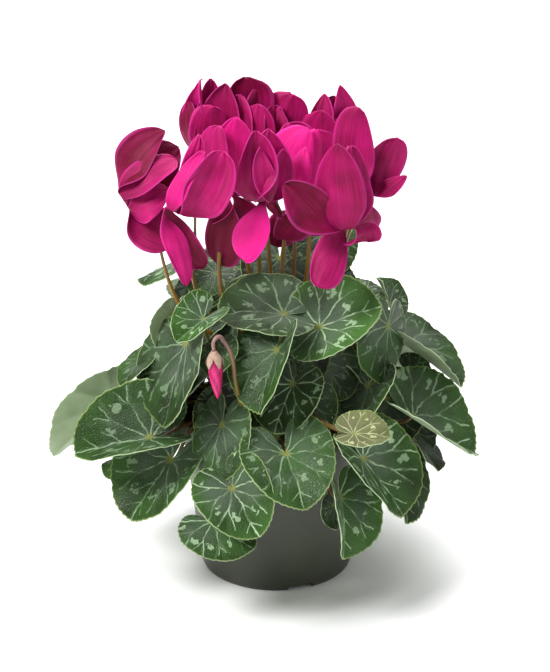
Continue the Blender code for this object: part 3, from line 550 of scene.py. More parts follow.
def tuber_height(radius):
    """Height of the tuber's upper side, a flattened dome."""
    middle = (TUBER_TOP + TUBER_BOTTOM) / 2 + 2
    share = min(radius / TUBER_RADIUS, 1)
    return middle + (TUBER_TOP - middle) * (1 - share ** 3) ** 0.5


def soil_height(radius):
    """Height of the soil: heaped a little against the tuber, level, and sunk at the wall."""
    return smooth_read(((0, SOIL_TOP), (TUBER_RADIUS + 3, SOIL_TOP + 1), (40, SOIL_TOP - 0.5),
                        (60, SOIL_TOP - 2)), radius)


soil_floor, soil_side = floor_top + GAP, WALL + GAP
rows = [(TUBER_RADIUS + GAP, tuber_height(TUBER_RADIUS))]
rows += [(radius, soil_height(radius)) for radius in (26, 28.5, 31, 34, 37, 40, 43, 46, 49, 52)]
rows += [(outer_radius(SOIL_TOP - 2) - soil_side, SOIL_TOP - 2.2), (outer_radius(60) - soil_side, 60),
         (outer_radius(soil_floor) - soil_side, soil_floor), (PAD_RADIUS + 1.5, soil_floor),
         (PAD_RADIUS - 1.4, WALL + GAP), (0, WALL + GAP)]
bowl = [(0, TUBER_BOTTOM - GAP), (TUBER_RADIUS * 0.55, TUBER_BOTTOM + 2 - GAP),
        (TUBER_RADIUS * 0.9 + GAP, TUBER_BOTTOM + 8)]
mesh = turned(bowl + rows, 96, "soil")
for vert in mesh.vertices:
    if vert.co.z > SOIL_TOP - 4 and 26 < hypot(vert.co.x, vert.co.y) < 53:
        vert.co.z += 1.3 * noise.fractal(vert.co * 0.16, 0.7, 2.0, 4)
soil = finish_piece("potting_soil", mesh, [peat])
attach(soil, "root")
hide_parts("substrate")

bm = bmesh.new()
for number in range(420):
    turn = number * 2.399963
    radius = 27.5 + 26 * ((number + 0.5) / 420) ** 0.6
    size = 0.6 + 1.0 * abs(noise.noise(Vector((number * 1.7, 0.3, 0))))
    spot = Vector((radius * cos(turn), radius * sin(turn), soil_height(radius) + size * 0.3))
    made = bmesh.ops.create_icosphere(bm, subdivisions=1, radius=size)
    bmesh.ops.scale(bm, vec=(1.5, 0.8, 0.6), verts=made["verts"])
    bmesh.ops.rotate(bm, verts=made["verts"], cent=(0, 0, 0), matrix=Matrix.Rotation(number * 1.3, 3, "Z"))
    bmesh.ops.translate(bm, vec=spot, verts=made["verts"])
crumbs = finish_piece("bark_crumbs", close_mesh(bm, "bark_crumbs"), [peat])
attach(crumbs, "root")

under = [(0, TUBER_BOTTOM), (TUBER_RADIUS * 0.55, TUBER_BOTTOM + 2), (TUBER_RADIUS * 0.9, TUBER_BOTTOM + 8)]
shares = (1.0, 0.985, 0.96, 0.9, 0.8, 0.68, 0.55, 0.4, 0.25, 0.12)
crown = [(TUBER_RADIUS * s, tuber_height(TUBER_RADIUS * s)) for s in shares]
mesh = turned(under + crown + [(0, TUBER_TOP)], 72, "tuber")
for vert in mesh.vertices:
    if vert.co.z > TUBER_BOTTOM + 6:
        vert.co -= vert.normal * 0.5 * abs(noise.fractal(vert.co * 0.22, 0.8, 2.1, 4))
tuber = finish_piece("corky_tuber", mesh, [cork])
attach(tuber, "root")
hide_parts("tuber")
print("soil, crumbs and tuber faces:", [len(o.data.polygons) for o in (soil, crumbs, tuber)])

# %% [markdown]
# ## Leaves
# Each leaf is one row: where its stalk meets the blade, which way the blade faces, which way its
# tip points, how long it is and how it is bent. The blade starts as a straight spoke that is spun
# round the stalk point, and each vertex is then laid on the bent surface: two halves folded about
# the midrib, an arched midrib, drooping basal lobes, a rippled margin with fine teeth, and soft
# quilting between the ribs. Solidify gives the blade its thickness, with the pale skin below.
#
# Most rows of the front leaves are fitted numbers, rounded. They were not chosen by hand. They are data
# about one plant and not a pattern to copy.


# %% What a leaf row says
def grow(hub, facing, spin, length, fold=(8, 8), curl=(0, 0), droop=15, lobes=10, twist=0, wave=1.0,
         gap=8, wide=0.96, lobed=1.0, young=False, via=(), tone=0.5, vigour=0.6):
    """A leaf: its measurements in millimetres and degrees, and its own axes.

    hub is where the stalk meets the blade; facing, the azimuth and height of its upper side; spin,
    the clock direction of its tip. fold raises the right and left half, curl bends each half
    further, droop and lobes bend the tip and the basal lobes down, twist turns the tip, wave is the
    ripple, gap the half angle of the notch, wide and lobed stretch it, via steers its stalk.
    """
    leaf = dict(locals())
    leaf["hub"] = Vector(hub)
    leaf["via"] = [Vector(point) for point in via]
    azimuth, height = radians(facing[0]), radians(facing[1])
    normal = Vector((cos(height) * cos(azimuth), cos(height) * sin(azimuth), sin(height)))
    upslope = (Vector((0, 0, 1)) - normal * normal.z).normalized()
    tip = upslope * cos(radians(spin)) + upslope.cross(normal) * sin(radians(spin))
    leaf.update(normal=normal, tip=tip, side=normal.cross(tip))
    return leaf


# Each row's tone sets how light the leaf's ground is painted: partly the leaf's own colour, partly painted
# light on lit leaves and painted shade on leaves that lie in shadow.
LEAVES = {
    "leaf_01": grow((24, -44, 167), (-124, 38), 57, 38,
                    fold=(14, 24), droop=7, gap=3, tone=0.95, vigour=1.0),
    "leaf_02": grow((4, -40, 174), (-74, 70), 286, 38,
                    fold=(12, 16), droop=9, wave=1.5, tone=0.3, vigour=0.5),
    "leaf_03": grow((-41, -57, 177), (-84, 52), 229, 21,
                    fold=(46, 28), droop=7, lobed=1.3, tone=0.8, vigour=0.9),
    "leaf_04": grow((-60, -22, 167), (150, 15), 165, 24,
                    fold=(8, 8), droop=24, via=((-36, -7, 140),), tone=0.45),
    "leaf_05": grow((-51, -50, 160), (-148, 26), 173, 50,
                    fold=(18, 6), droop=6, lobed=0.6, tone=0.25, vigour=0.35),
    "leaf_06": grow((-73, -52, 103), (-104, 56), 250, 44,
                    fold=(42, 44), droop=4, lobed=1.2, tone=0.5, vigour=0.6),
    "leaf_07": grow((-97, -6, 107), (136, 33), 136, 48, fold=(10, 10), droop=6, tone=0.5),
    "leaf_08": grow((-61, -46, 86), (-128, 48), 191, 42, fold=(20, 22), droop=12, tone=0.45, vigour=0.5),
    "leaf_09": grow((-31, -66, 117), (-137, 25), 176, 36, fold=(4, -14), droop=8, tone=0.35, vigour=0.3),
    "leaf_10": grow((-25, -92, 89), (-103, 52), 143, 33,
                    fold=(34, 22), droop=20, lobes=-36, lobed=1.15, tone=0.55, vigour=0.9),
    "leaf_11": grow((-37, -80, 63), (-77, 69), 139, 30,
                    fold=(-22, -16), droop=14, lobed=1.1, via=((-23.1, -53.8, 104.3), (-34, -73, 59)),
                    tone=0.5, vigour=0.9),
    "leaf_12": grow((5, -84, 107), (-87, 54), 164, 36,
                    fold=(16, 14), droop=8, lobes=-32, gap=16, lobed=1.25, tone=0.5, vigour=0.5),
    "leaf_13": grow((0, -64, 161), (-130, 45), 171, 38,
                    fold=(40, 16), droop=17, gap=10, wide=0.88, tone=0.4, vigour=0.3),
    "leaf_14": grow((53, -34, 128), (-133, 38), 192, 38,
                    fold=(26, 24), droop=6, via=((20, -11, 118),), tone=0.25, vigour=0.3),
    "leaf_15": grow((64, -33, 164), (-38, 8), 198, 34,
                    fold=(-12, -14), droop=4, wide=0.9, tone=0.4, vigour=0.4),
    "leaf_16": grow((75, 0, 141), (-1, 57), 191, 43, fold=(20, 24), droop=4, tone=0.3, vigour=0.35),
    "leaf_17": grow((78, -40, 111), (-16, 51), 163, 46, fold=(34, 28), droop=-5, tone=0.5, vigour=0.6),
    "leaf_18": grow((42, -96, 124), (-86, 70), 95, 21,
                    fold=(14, 16), droop=4, young=True, via=((20, -50, 115), (32, -86, 123)), tone=0.5,
                    vigour=0.9),
    "leaf_19": grow((49, -72, 98), (-34, 44), 174, 40,
                    fold=(34, 24), droop=10, lobed=1.15, tone=0.5, vigour=0.8),
    "leaf_20": grow((36, -80, 79), (-27, 28), 203, 36, fold=(24, 26), droop=21, tone=0.85, vigour=0.95),
    "leaf_21": grow((64, -38, 81), (-13, 39), 206, 38, fold=(23, 24), droop=24, tone=0.3, vigour=0.4),
    "leaf_22": grow((82, -14, 85), (-6, 49), 210, 24, fold=(9, 13), droop=4, tone=0.1, vigour=0.1),
    "leaf_23": grow((33, -67, 67), (-52, 22), 195, 14, fold=(4, 5), droop=6, tone=0.2, vigour=0.3),
    "leaf_24": grow((-32, -60, 162), (-144, 41), 156, 19,
                    fold=(-5, -3), droop=17, lobed=0.85, tone=0.3, vigour=0.3),
    "leaf_25": grow((-54, 8, 190), (171, 66), 168, 30, fold=(-3, -7), droop=7, tone=0.4),
    "leaf_26": grow((-36, 2, 184), (-110, 62), 200, 20, fold=(6, 6), droop=14, tone=0.4),
    "leaf_27": grow((27, 40, 194), (-88, 44), 176, 29, fold=(6, 6), droop=14, tone=0.4),
    "leaf_28": grow((67, 14, 160), (-25, 32), 20, 18, fold=(30, 34), droop=10, gap=8, tone=0.35),
    "leaf_29": grow((9, -56, 137), (-120, 44), 184, 30, fold=(8, 14), droop=18, tone=0.2, vigour=0.8),
    "leaf_30": grow((-77, -28, 142), (-156, 55), 171, 21, fold=(11, -1), droop=14, tone=0.35, vigour=0.3),
    "leaf_31": grow((47, -6, 174), (-40, 70), 160, 20, fold=(8, 8), droop=10, tone=0.4),
    "leaf_32": grow((-81, -12, 74), (-164, 60), 221, 28, fold=(1, -11), droop=4, tone=0.5),
    "leaf_33": grow((78, -8, 126), (-40, 50), 150, 20, fold=(10, 10), droop=16, tone=0.3),
    "leaf_34": grow((56, 40, 148), (34, 55), 180, 34, fold=(10, 10), droop=14, tone=0.5),
    "leaf_35": grow((14, 64, 160), (75, 58), 190, 42, fold=(12, 12), droop=14, tone=0.5),
    "leaf_36": grow((-34, 46, 164), (118, 60), 175, 40, fold=(10, 10), droop=14, tone=0.5),
    "leaf_37": grow((80, 30, 104), (22, 42), 172, 36, fold=(8, 8), droop=16, tone=0.5),
    "leaf_38": grow((56, 73, 112), (55, 42), 185, 44, fold=(8, 8), droop=16, tone=0.5),
    "leaf_39": grow((2, 88, 112), (90, 42), 180, 44, fold=(8, 8), droop=18, tone=0.5),
    "leaf_40": grow((-52, 72, 114), (125, 42), 176, 44, fold=(8, 8), droop=16, tone=0.5),
    "leaf_41": grow((-86, 28, 118), (158, 45), 184, 42, fold=(8, 8), droop=14, tone=0.5),
    "leaf_42": grow((32, 78, 74), (65, 28), 180, 38, fold=(8, 8), droop=12, tone=0.5),
    "leaf_43": grow((-28, 80, 74), (112, 28), 175, 38, fold=(8, 8), droop=12, tone=0.5),
    "leaf_44": grow((-78, 34, 80), (155, 28), 180, 36, fold=(8, 8), droop=12, tone=0.5),
}
print("leaves:", len(LEAVES))

# %% [markdown]
# ## Inner leaves
# A cyclamen holds many more leaves than show. These fill the dark middle of the mound, so that no
# gap looks through the plant. Each stands a golden angle on from the last, on a ring that narrows
# as it rises, which is how leaves share the light. A few more fill the crown and the right side.

# %% Shaded inner leaves
INNER_COUNT, INNER_LOW, INNER_HIGH = 26, 104.0, 164.0      # how many, and their heights in millimetres
INNER_WIDE, INNER_NARROWS = 56.0, 26.0                     # ring radius at the bottom, and what it loses
GOLDEN_ANGLE = 137.5                                       # degrees
INNER_LEAVES = {}
# These leaves get a low tone, which paints them dark: painted shade for the shadow inside the mound.
for number in range(INNER_COUNT):
    rise = (number + 0.5) / INNER_COUNT
    azimuth = number * GOLDEN_ANGLE - 90
    out = INNER_WIDE - INNER_NARROWS * rise
    place = (out * cos(radians(azimuth)), out * sin(radians(azimuth)),
             INNER_LOW + (INNER_HIGH - INNER_LOW) * rise)
    INNER_LEAVES[f"inner_{number:02d}"] = grow(
        place, (azimuth + 25 * sin(3.0 * number), 34 + 14 * sin(2.0 * number)), 180 + 25 * sin(5.0 * number),
        30 + 3 * sin(7.0 * number), fold=(10, 8), droop=16, tone=0.1, vigour=0.25)
# These get the lowest tone: painted shade for the shadow under the flowers.
for number, place in enumerate(((-38, 26, 164), (-26, 34, 176), (2, 36, 182), (24, 22, 172), (38, 30, 158),
                                (64, -14, 112), (72, -4, 92))):
    INNER_LEAVES[f"upper_{number:02d}"] = grow(
        place, (-100 + 8 * number, 42), 172 + 6 * number, 33, fold=(10, 8), droop=16, tone=0.0, vigour=0.2)
print("inner leaves:", len(INNER_LEAVES))

# %% The bent blade
# Half of the heart outline, seen from the stalk: place along the margin, angle from the tip, radius.
OUTLINE = ((0, 1.0), (9, 0.98), (21, 0.945), (38, 0.895), (57, 0.84), (78, 0.775), (97, 0.715), (116, 0.655),
           (134, 0.59), (150, 0.51), (161, 0.41), (169, 0.26), (171, 0.1))
MARGIN_ANGLE = tuple((i / 12, row[0]) for i, row in enumerate(OUTLINE))
MARGIN_REACH = tuple((i / 12, row[1]) for i, row in enumerate(OUTLINE))
SPOKES = 150
RINGS = (0.06, 0.14, 0.23, 0.32, 0.41, 0.5, 0.59, 0.68, 0.76, 0.84, 0.91, 0.96, 0.985, 1.0)
TOOTH = (0.0, 0.016, 0.006)   # three spokes make one tooth, as part of the leaf's length
BLADE = 0.5                   # blade thickness, millimetres


def rest_place(leaf, angle, radius):
    """Flat place of a point of the blade: along the midrib and across it, as parts of the length."""
    radius *= 1 + (leaf["lobed"] - 1) * min(max((abs(angle) - 70) / 70, 0), 1)
    turn = radians(angle * (180 - leaf["gap"]) / OUTLINE[-1][0])
    return radius * cos(turn), radius * sin(turn)


def bent_place(leaf, angle, radius):
    """Place of that point on the bent blade, in millimetres."""
    along, across = rest_place(leaf, angle, radius)
    reach, turn = hypot(along, across), atan2(across, along)
    across *= leaf["wide"]
    half = 0 if across > 0 else 1
    side = rise = 0.0
    for part in range(6):
        out = abs(across) * (part + 0.5) / 6
        slope = radians(leaf["fold"][half]) * min(out / 0.06, 1) + radians(leaf["curl"][half]) * out
        side += cos(slope) * abs(across) / 6
        rise += sin(slope) * abs(across) / 6
    side = side if across > 0 else -side
    rise += leaf["wave"] * 1.2 * sin(4 * turn + leaf["hub"].x) * reach ** 3 / leaf["length"]
    rise += leaf["wave"] * 0.8 * sin(9 * turn + leaf["hub"].y) * reach ** 6 / leaf["length"]
    off_rib = (turn / RIB_TURN - round(turn / RIB_TURN)) * RIB_TURN * reach
    rise += 0.03 * min(reach, 0.6) * (1 - exp(-(off_rib / 0.05) ** 2))
    bend = radians(leaf["droop"]) * along if along > 0 else radians(leaf["lobes"]) * along
    chord = along * (sin(bend / 2) / (bend / 2) if abs(bend) > 1e-6 else 1)
    line_x, line_z = chord * cos(bend / 2), -chord * sin(bend / 2)
    turn = radians(leaf["twist"]) * max(along, 0)
    side, rise = side * cos(turn) - rise * sin(turn), side * sin(turn) + rise * cos(turn)
    offset = (leaf["tip"] * (line_x + rise * sin(bend)) + leaf["side"] * side
              + leaf["normal"] * (line_z + rise * cos(bend)))
    return leaf["hub"] + offset * leaf["length"]


def make_blade(name, leaf):
    """Spin a spoke round the stalk point, then lay each vertex on the bent blade."""
    bm = bmesh.new()
    spoke = [bm.verts.new((ring, 0, 0)) for ring in (0,) + RINGS]
    edges = [bm.edges.new(pair) for pair in zip(spoke, spoke[1:])]
    bmesh.ops.rotate(bm, verts=spoke, cent=(0, 0, 0), matrix=Matrix.Rotation(-3, 3, "Z"))
    bmesh.ops.spin(bm, geom=spoke + edges, axis=(0, 0, 1), cent=(0, 0, 0), angle=6, steps=SPOKES,
                   use_merge=False)
    bmesh.ops.remove_doubles(bm, verts=bm.verts, dist=1e-4)
    disc = bm.loops.layers.uv.new("disc")
    edge = bm.verts.layers.float.new("edge")
    flat = {}
    for vert in bm.verts:
        ring = hypot(vert.co.x, vert.co.y)
        place = atan2(vert.co.y, vert.co.x) / 3
        half = 1 if place >= 0 else -1
        angle = half * smooth_read(MARGIN_ANGLE, abs(place))
        radius = smooth_read(MARGIN_REACH, abs(place))
        if ring > 0.95:
            radius += TOOTH[round((place + 1) * SPOKES / 2) % 3] * (ring - 0.95) / 0.05
        flat[vert] = rest_place(leaf, angle, radius * ring)
        vert[edge] = ring
        vert.co = bent_place(leaf, angle, radius * ring)
    for face in bm.faces:
        for loop in face.loops:
            along, across = flat[loop.vert]
            loop[disc].uv = (0.5 + along / 2, 0.5 + across / 2)
    facing_up = sum(((face.normal_update() or face.normal) * face.calc_area() for face in bm.faces), Vector())
    if facing_up.dot(leaf["normal"]) < 0:
        bmesh.ops.reverse_faces(bm, faces=bm.faces)
    mesh = close_mesh(bm, name, outward=False)
    for kind, value in (("tone", leaf["tone"]), ("vigour", leaf["vigour"]), ("luck", leaf["hub"].length % 7)):
        layer = mesh.attributes.new(kind, "FLOAT", "POINT")
        layer.data.foreach_set("value", [value] * len(mesh.vertices))
    skin = young_upper if leaf["young"] else leaf_upper
    blade = finish_piece(name, mesh, [skin, leaf_under])
    thick = blade.modifiers.new("thickness", "SOLIDIFY")
    thick.thickness = BLADE * MM
    thick.offset = -1
    thick.material_offset = thick.material_offset_rim = 1
    return blade


# %% Where the stalks stand on the tuber
STALK_RADIUS, STEM_RADIUS = 1.25, 1.4
FLOWER_RING, HIGH_RING, LOW_RING = 7.0, 11.8, 16.4
OVER_RIM, RIM_CLEAR = 120.0, 58.5


def crown_point(azimuth, radius, stalk_radius):
    """Where a stalk stands on the tuber, with its foot let in a little."""
    height = tuber_height(max(radius - stalk_radius, 0)) + GAP
    return Vector((radius * cos(azimuth), radius * sin(azimuth), height))


def spread(items, least):
    """Push (azimuth, name) items apart round the circle until neighbours differ by the least angle."""
    order = sorted(items)
    places = [azimuth for azimuth, _ in order]
    count = len(places)
    for _ in range(400):
        for here in range(count):
            after = (here + 1) % count
            turn = 2 * pi if after == 0 else 0
            short = least - (places[after] + turn - places[here])
            if short > 0:
                places[here] -= short / 2
                places[after] += short / 2
    return {name: place for place, (_, name) in zip(places, order)}


highs = [(atan2(v["hub"].y, v["hub"].x), n) for n, v in LEAVES.items() if v["hub"].z >= OVER_RIM]
lows = [(atan2(v["hub"].y, v["hub"].x), n) for n, v in LEAVES.items() if v["hub"].z < OVER_RIM]
high = spread(highs, 3.0 / HIGH_RING)
low, over = spread(lows, 3.0 / LOW_RING), spread(lows, 3.6 / RIM_CLEAR)
print("stalks of high leaves:", len(high), "stalks over the rim:", len(over))

# %% Grow every leaf
for name, leaf in INNER_LEAVES.items():
    blade = make_blade("blade_" + name, leaf)
    azimuth = atan2(leaf["hub"].y, leaf["hub"].x)
    root = crown_point(azimuth, 14.1, STALK_RADIUS)
    end = leaf["hub"] - leaf["normal"] * 0.4
    mesh = stalk("petiole_" + name, [root, end], [1.1, 0.9], ends=(Vector((0, 0, 12)), leaf["normal"] * 14))
    petiole = finish_piece("petiole_" + name, mesh, [petiole_skin])
    for piece in (blade, petiole):
        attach(piece, "root")

for name, leaf in LEAVES.items():
    blade = make_blade("blade" + name[4:], leaf)
    if name in high:
        root = crown_point(high[name], HIGH_RING, STALK_RADIUS)
    else:
        root = crown_point(low[name], LOW_RING, STALK_RADIUS)
    points = [root] + leaf["via"]
    if leaf["via"]:
        start = Vector((root.x * 0.6, root.y * 0.6, 16))
    elif name in low:
        points.append(Vector((RIM_CLEAR * cos(over[name]), RIM_CLEAR * sin(over[name]), POT_HEIGHT + 4.3)))
        start = Vector((root.x * 0.5, root.y * 0.5, 9))
    else:
        start = Vector((root.x * 1.1, root.y * 1.1, (leaf["hub"].z - root.z) * 0.46))
    arrive = (leaf["normal"] + Vector((0, 0, 0.4))).normalized() * (leaf["hub"] - points[-1]).length * 0.3
    radii = [STALK_RADIUS] * len(points) + [STALK_RADIUS * 0.8]
    end = leaf["hub"] - leaf["normal"] * 0.4
    mesh = stalk("petiole" + name[4:], points + [end], radii, ends=(start, arrive))
    petiole = finish_piece("petiole" + name[4:], mesh, [petiole_skin])
    for piece in (blade, petiole):
        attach(piece, "root")
        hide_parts(name)
print("faces of one blade:", len(blade.data.polygons))

# %% [markdown]
# ## Petal, calyx and bud finishes
# Petals are magenta and faintly velvety: fine streaks run their whole length, the margin is painted a
# lighter lilac pink, a painted glow of light through the thin edge, and the colour deepens to crimson
# at the mouth. Each petal's tone paints it lighter or darker: painted light and painted shade. Thin
# tissue lets some light through, so the shader scatters a little under the surface.

# %% Petal finish
petal_skin, tree, shader = material("velvety_petal", 0.5, ior=1.4)
place = node(tree, "TexCoord", output="Object")
flat = node(tree, "UVMap", uv_map="petal")
along = node(tree, "SeparateXYZ", {0: flat}, output="X")
across = node(tree, "SeparateXYZ", {0: flat}, output="Y")
luck = node(tree, "Attribute", attribute_name="luck", output="Fac")
strip = node(tree, "CombineXYZ", {"X": along, "Y": across, "Z": luck})
strip = node(tree, "Mapping", {"Vector": strip, "Scale": (2.2, 34.0, 9.0)})
streak = node(tree, "TexNoise", {"Vector": strip, "Scale": 1.0, "Detail": 4.0, "Roughness": 0.6},
              output="Factor")
streak = node(tree, "MapRange", {"Value": streak, "From Min": 0.32, "From Max": 0.7})
cloud = node(tree, "TexNoise", {"Vector": place, "Scale": 60.0, "Detail": 3.0}, output="Factor")
# each petal's tone paints it lighter or darker: painted light and painted shade, with a little of its own
# colour
tone = node(tree, "Attribute", attribute_name="tone", output="Fac")
share = node(tree, "Math", {0: streak, 1: 0.4, 2: cloud}, operation="MULTIPLY_ADD")
share = node(tree, "MapRange", {"Value": share, "From Min": 0.3, "From Max": 1.0, "To Min": -0.25,
                                "To Max": 0.25})
share = node(tree, "Math", {0: share, 1: tone}, operation="ADD", use_clamp=True)
share = node(tree, "Math", {0: share, 1: 1.5}, operation="POWER")
body = node(tree, "Mix", {0: share, 1: colour("#5c0020"), 2: colour("#d61a80")}, data_type="RGBA")
deep = node(tree, "MapRange", {"Value": along, "From Min": 0.0, "From Max": 0.5, "To Min": 0.9,
                               "To Max": 0.0}, interpolation_type="SMOOTHSTEP")
body = node(tree, "Mix", {0: deep, 1: body, 2: colour("#6a0030")}, data_type="RGBA")
# the margin is painted a lighter lilac pink: a painted glow of light through the thin edge
side = node(tree, "Math", {0: across, 1: 0.5}, operation="SUBTRACT")
side = node(tree, "Math", {0: side}, operation="ABSOLUTE")
thin = node(tree, "MapRange", {"Value": side, "From Min": 0.42, "From Max": 0.5, "To Min": 0.0,
                               "To Max": 0.25}, interpolation_type="SMOOTHSTEP")
body = node(tree, "Mix", {0: thin, 1: body, 2: colour("#ee48b8")}, data_type="RGBA")
tree.links.new(body, shader.inputs["Base Color"])
bump = node(tree, "Bump", {"Strength": 0.35, "Distance": 0.0004, "Height": streak})
tree.links.new(bump, shader.inputs["Normal"])
shader.inputs["Subsurface Weight"].default_value = 0.25
shader.inputs["Subsurface Radius"].default_value = (0.004, 0.0008, 0.002)
shader.inputs["Sheen Weight"].default_value = 0.03
shader.inputs["Specular IOR Level"].default_value = 0.2
shader.inputs["Sheen Roughness"].default_value = 0.4
shader.inputs["Sheen Tint"].default_value = colour("#ff6ac8")

throat_skin, tree, shader = material("crimson_throat", 0.5, ior=1.4)
place = node(tree, "TexCoord", output="Object")
cloud = node(tree, "TexNoise", {"Vector": place, "Scale": 300.0, "Detail": 2.0}, output="Factor")
body = node(tree, "Mix", {0: cloud, 1: colour("#64002c"), 2: colour("#a0104e")}, data_type="RGBA")
tree.links.new(body, shader.inputs["Base Color"])

rolled_skin, tree, shader = material("rolled_bud_petal", 0.45, ior=1.4)
# each fold is painted lighter across its middle and darker at its edges, where the folds overlap: painted
# light and shade
ridge = node(tree, "Attribute", attribute_name="ridge", output="Fac")
body = node(tree, "Mix", {0: ridge, 1: colour("#7c0438"), 2: colour("#d62276")}, data_type="RGBA")
tree.links.new(body, shader.inputs["Base Color"])
shader.inputs["Subsurface Weight"].default_value = 0.15
shader.inputs["Subsurface Radius"].default_value = (0.003, 0.0006, 0.0015)

calyx_skin, tree, shader = material("downy_calyx", 0.6)
place = node(tree, "TexCoord", output="Object")
cloud = node(tree, "TexNoise", {"Vector": place, "Scale": 350.0, "Detail": 3.0}, output="Factor")
body = node(tree, "Mix", {0: cloud, 1: colour("#6e4c42"), 2: colour("#c6ac96")}, data_type="RGBA")
tree.links.new(body, shader.inputs["Base Color"])
bump = node(tree, "Bump", {"Strength": 0.4, "Distance": 0.0003, "Height": cloud})
tree.links.new(bump, shader.inputs["Normal"])
print("flower finishes:", petal_skin.name, throat_skin.name, calyx_skin.name)

# %% [markdown]
# ## Flowers
# A cyclamen flower nods: its mouth faces down, and five petals turn sharply back out of it and
# stand up like a shuttlecock. Each petal's middle line is a Bezier curve that leaves the mouth
# downwards, turns over and runs to the petal's tip. Its width is a mix of a blunt and a pointed
# table, different on each petal, and it is turned, cupped, swayed and ruffled on the way. The
# stem comes up beside the petals, hooks over and joins the tube from above, where a small
# five-lobed calyx sits.
#
# The mouths and most petal tips below were worked out from measured positions and rounded, and
# then changed one by one where a petal did not sit well. They too are data about one plant.


# %% What a flower row says
def bloom(number, mouth, lean, stem, waist, petals, route=None):
    """A flower: its measurements in millimetres and degrees, and its own frame.

    mouth is the middle of the mouth; lean, the azimuth and angle of its axis from the vertical;
    stem, the azimuth of the stem beside it; waist, where the stem dips between the leaves.
    petals are five rows counted from the stem: tip from the mouth, width, the azimuth and height
    that the blade looks to, cup, arch and its tone: how light it is painted, mostly painted light and shade.
    """
    flower = dict(locals())
    flower["mouth"], flower["waist"] = Vector(mouth), Vector(waist)
    hinge = Vector((-sin(radians(lean[0])), cos(radians(lean[0])), 0))
    flower["frame"] = Matrix.Rotation(radians(lean[1]), 3, hinge) @ Matrix.Rotation(radians(stem), 3, "Z")
    return flower
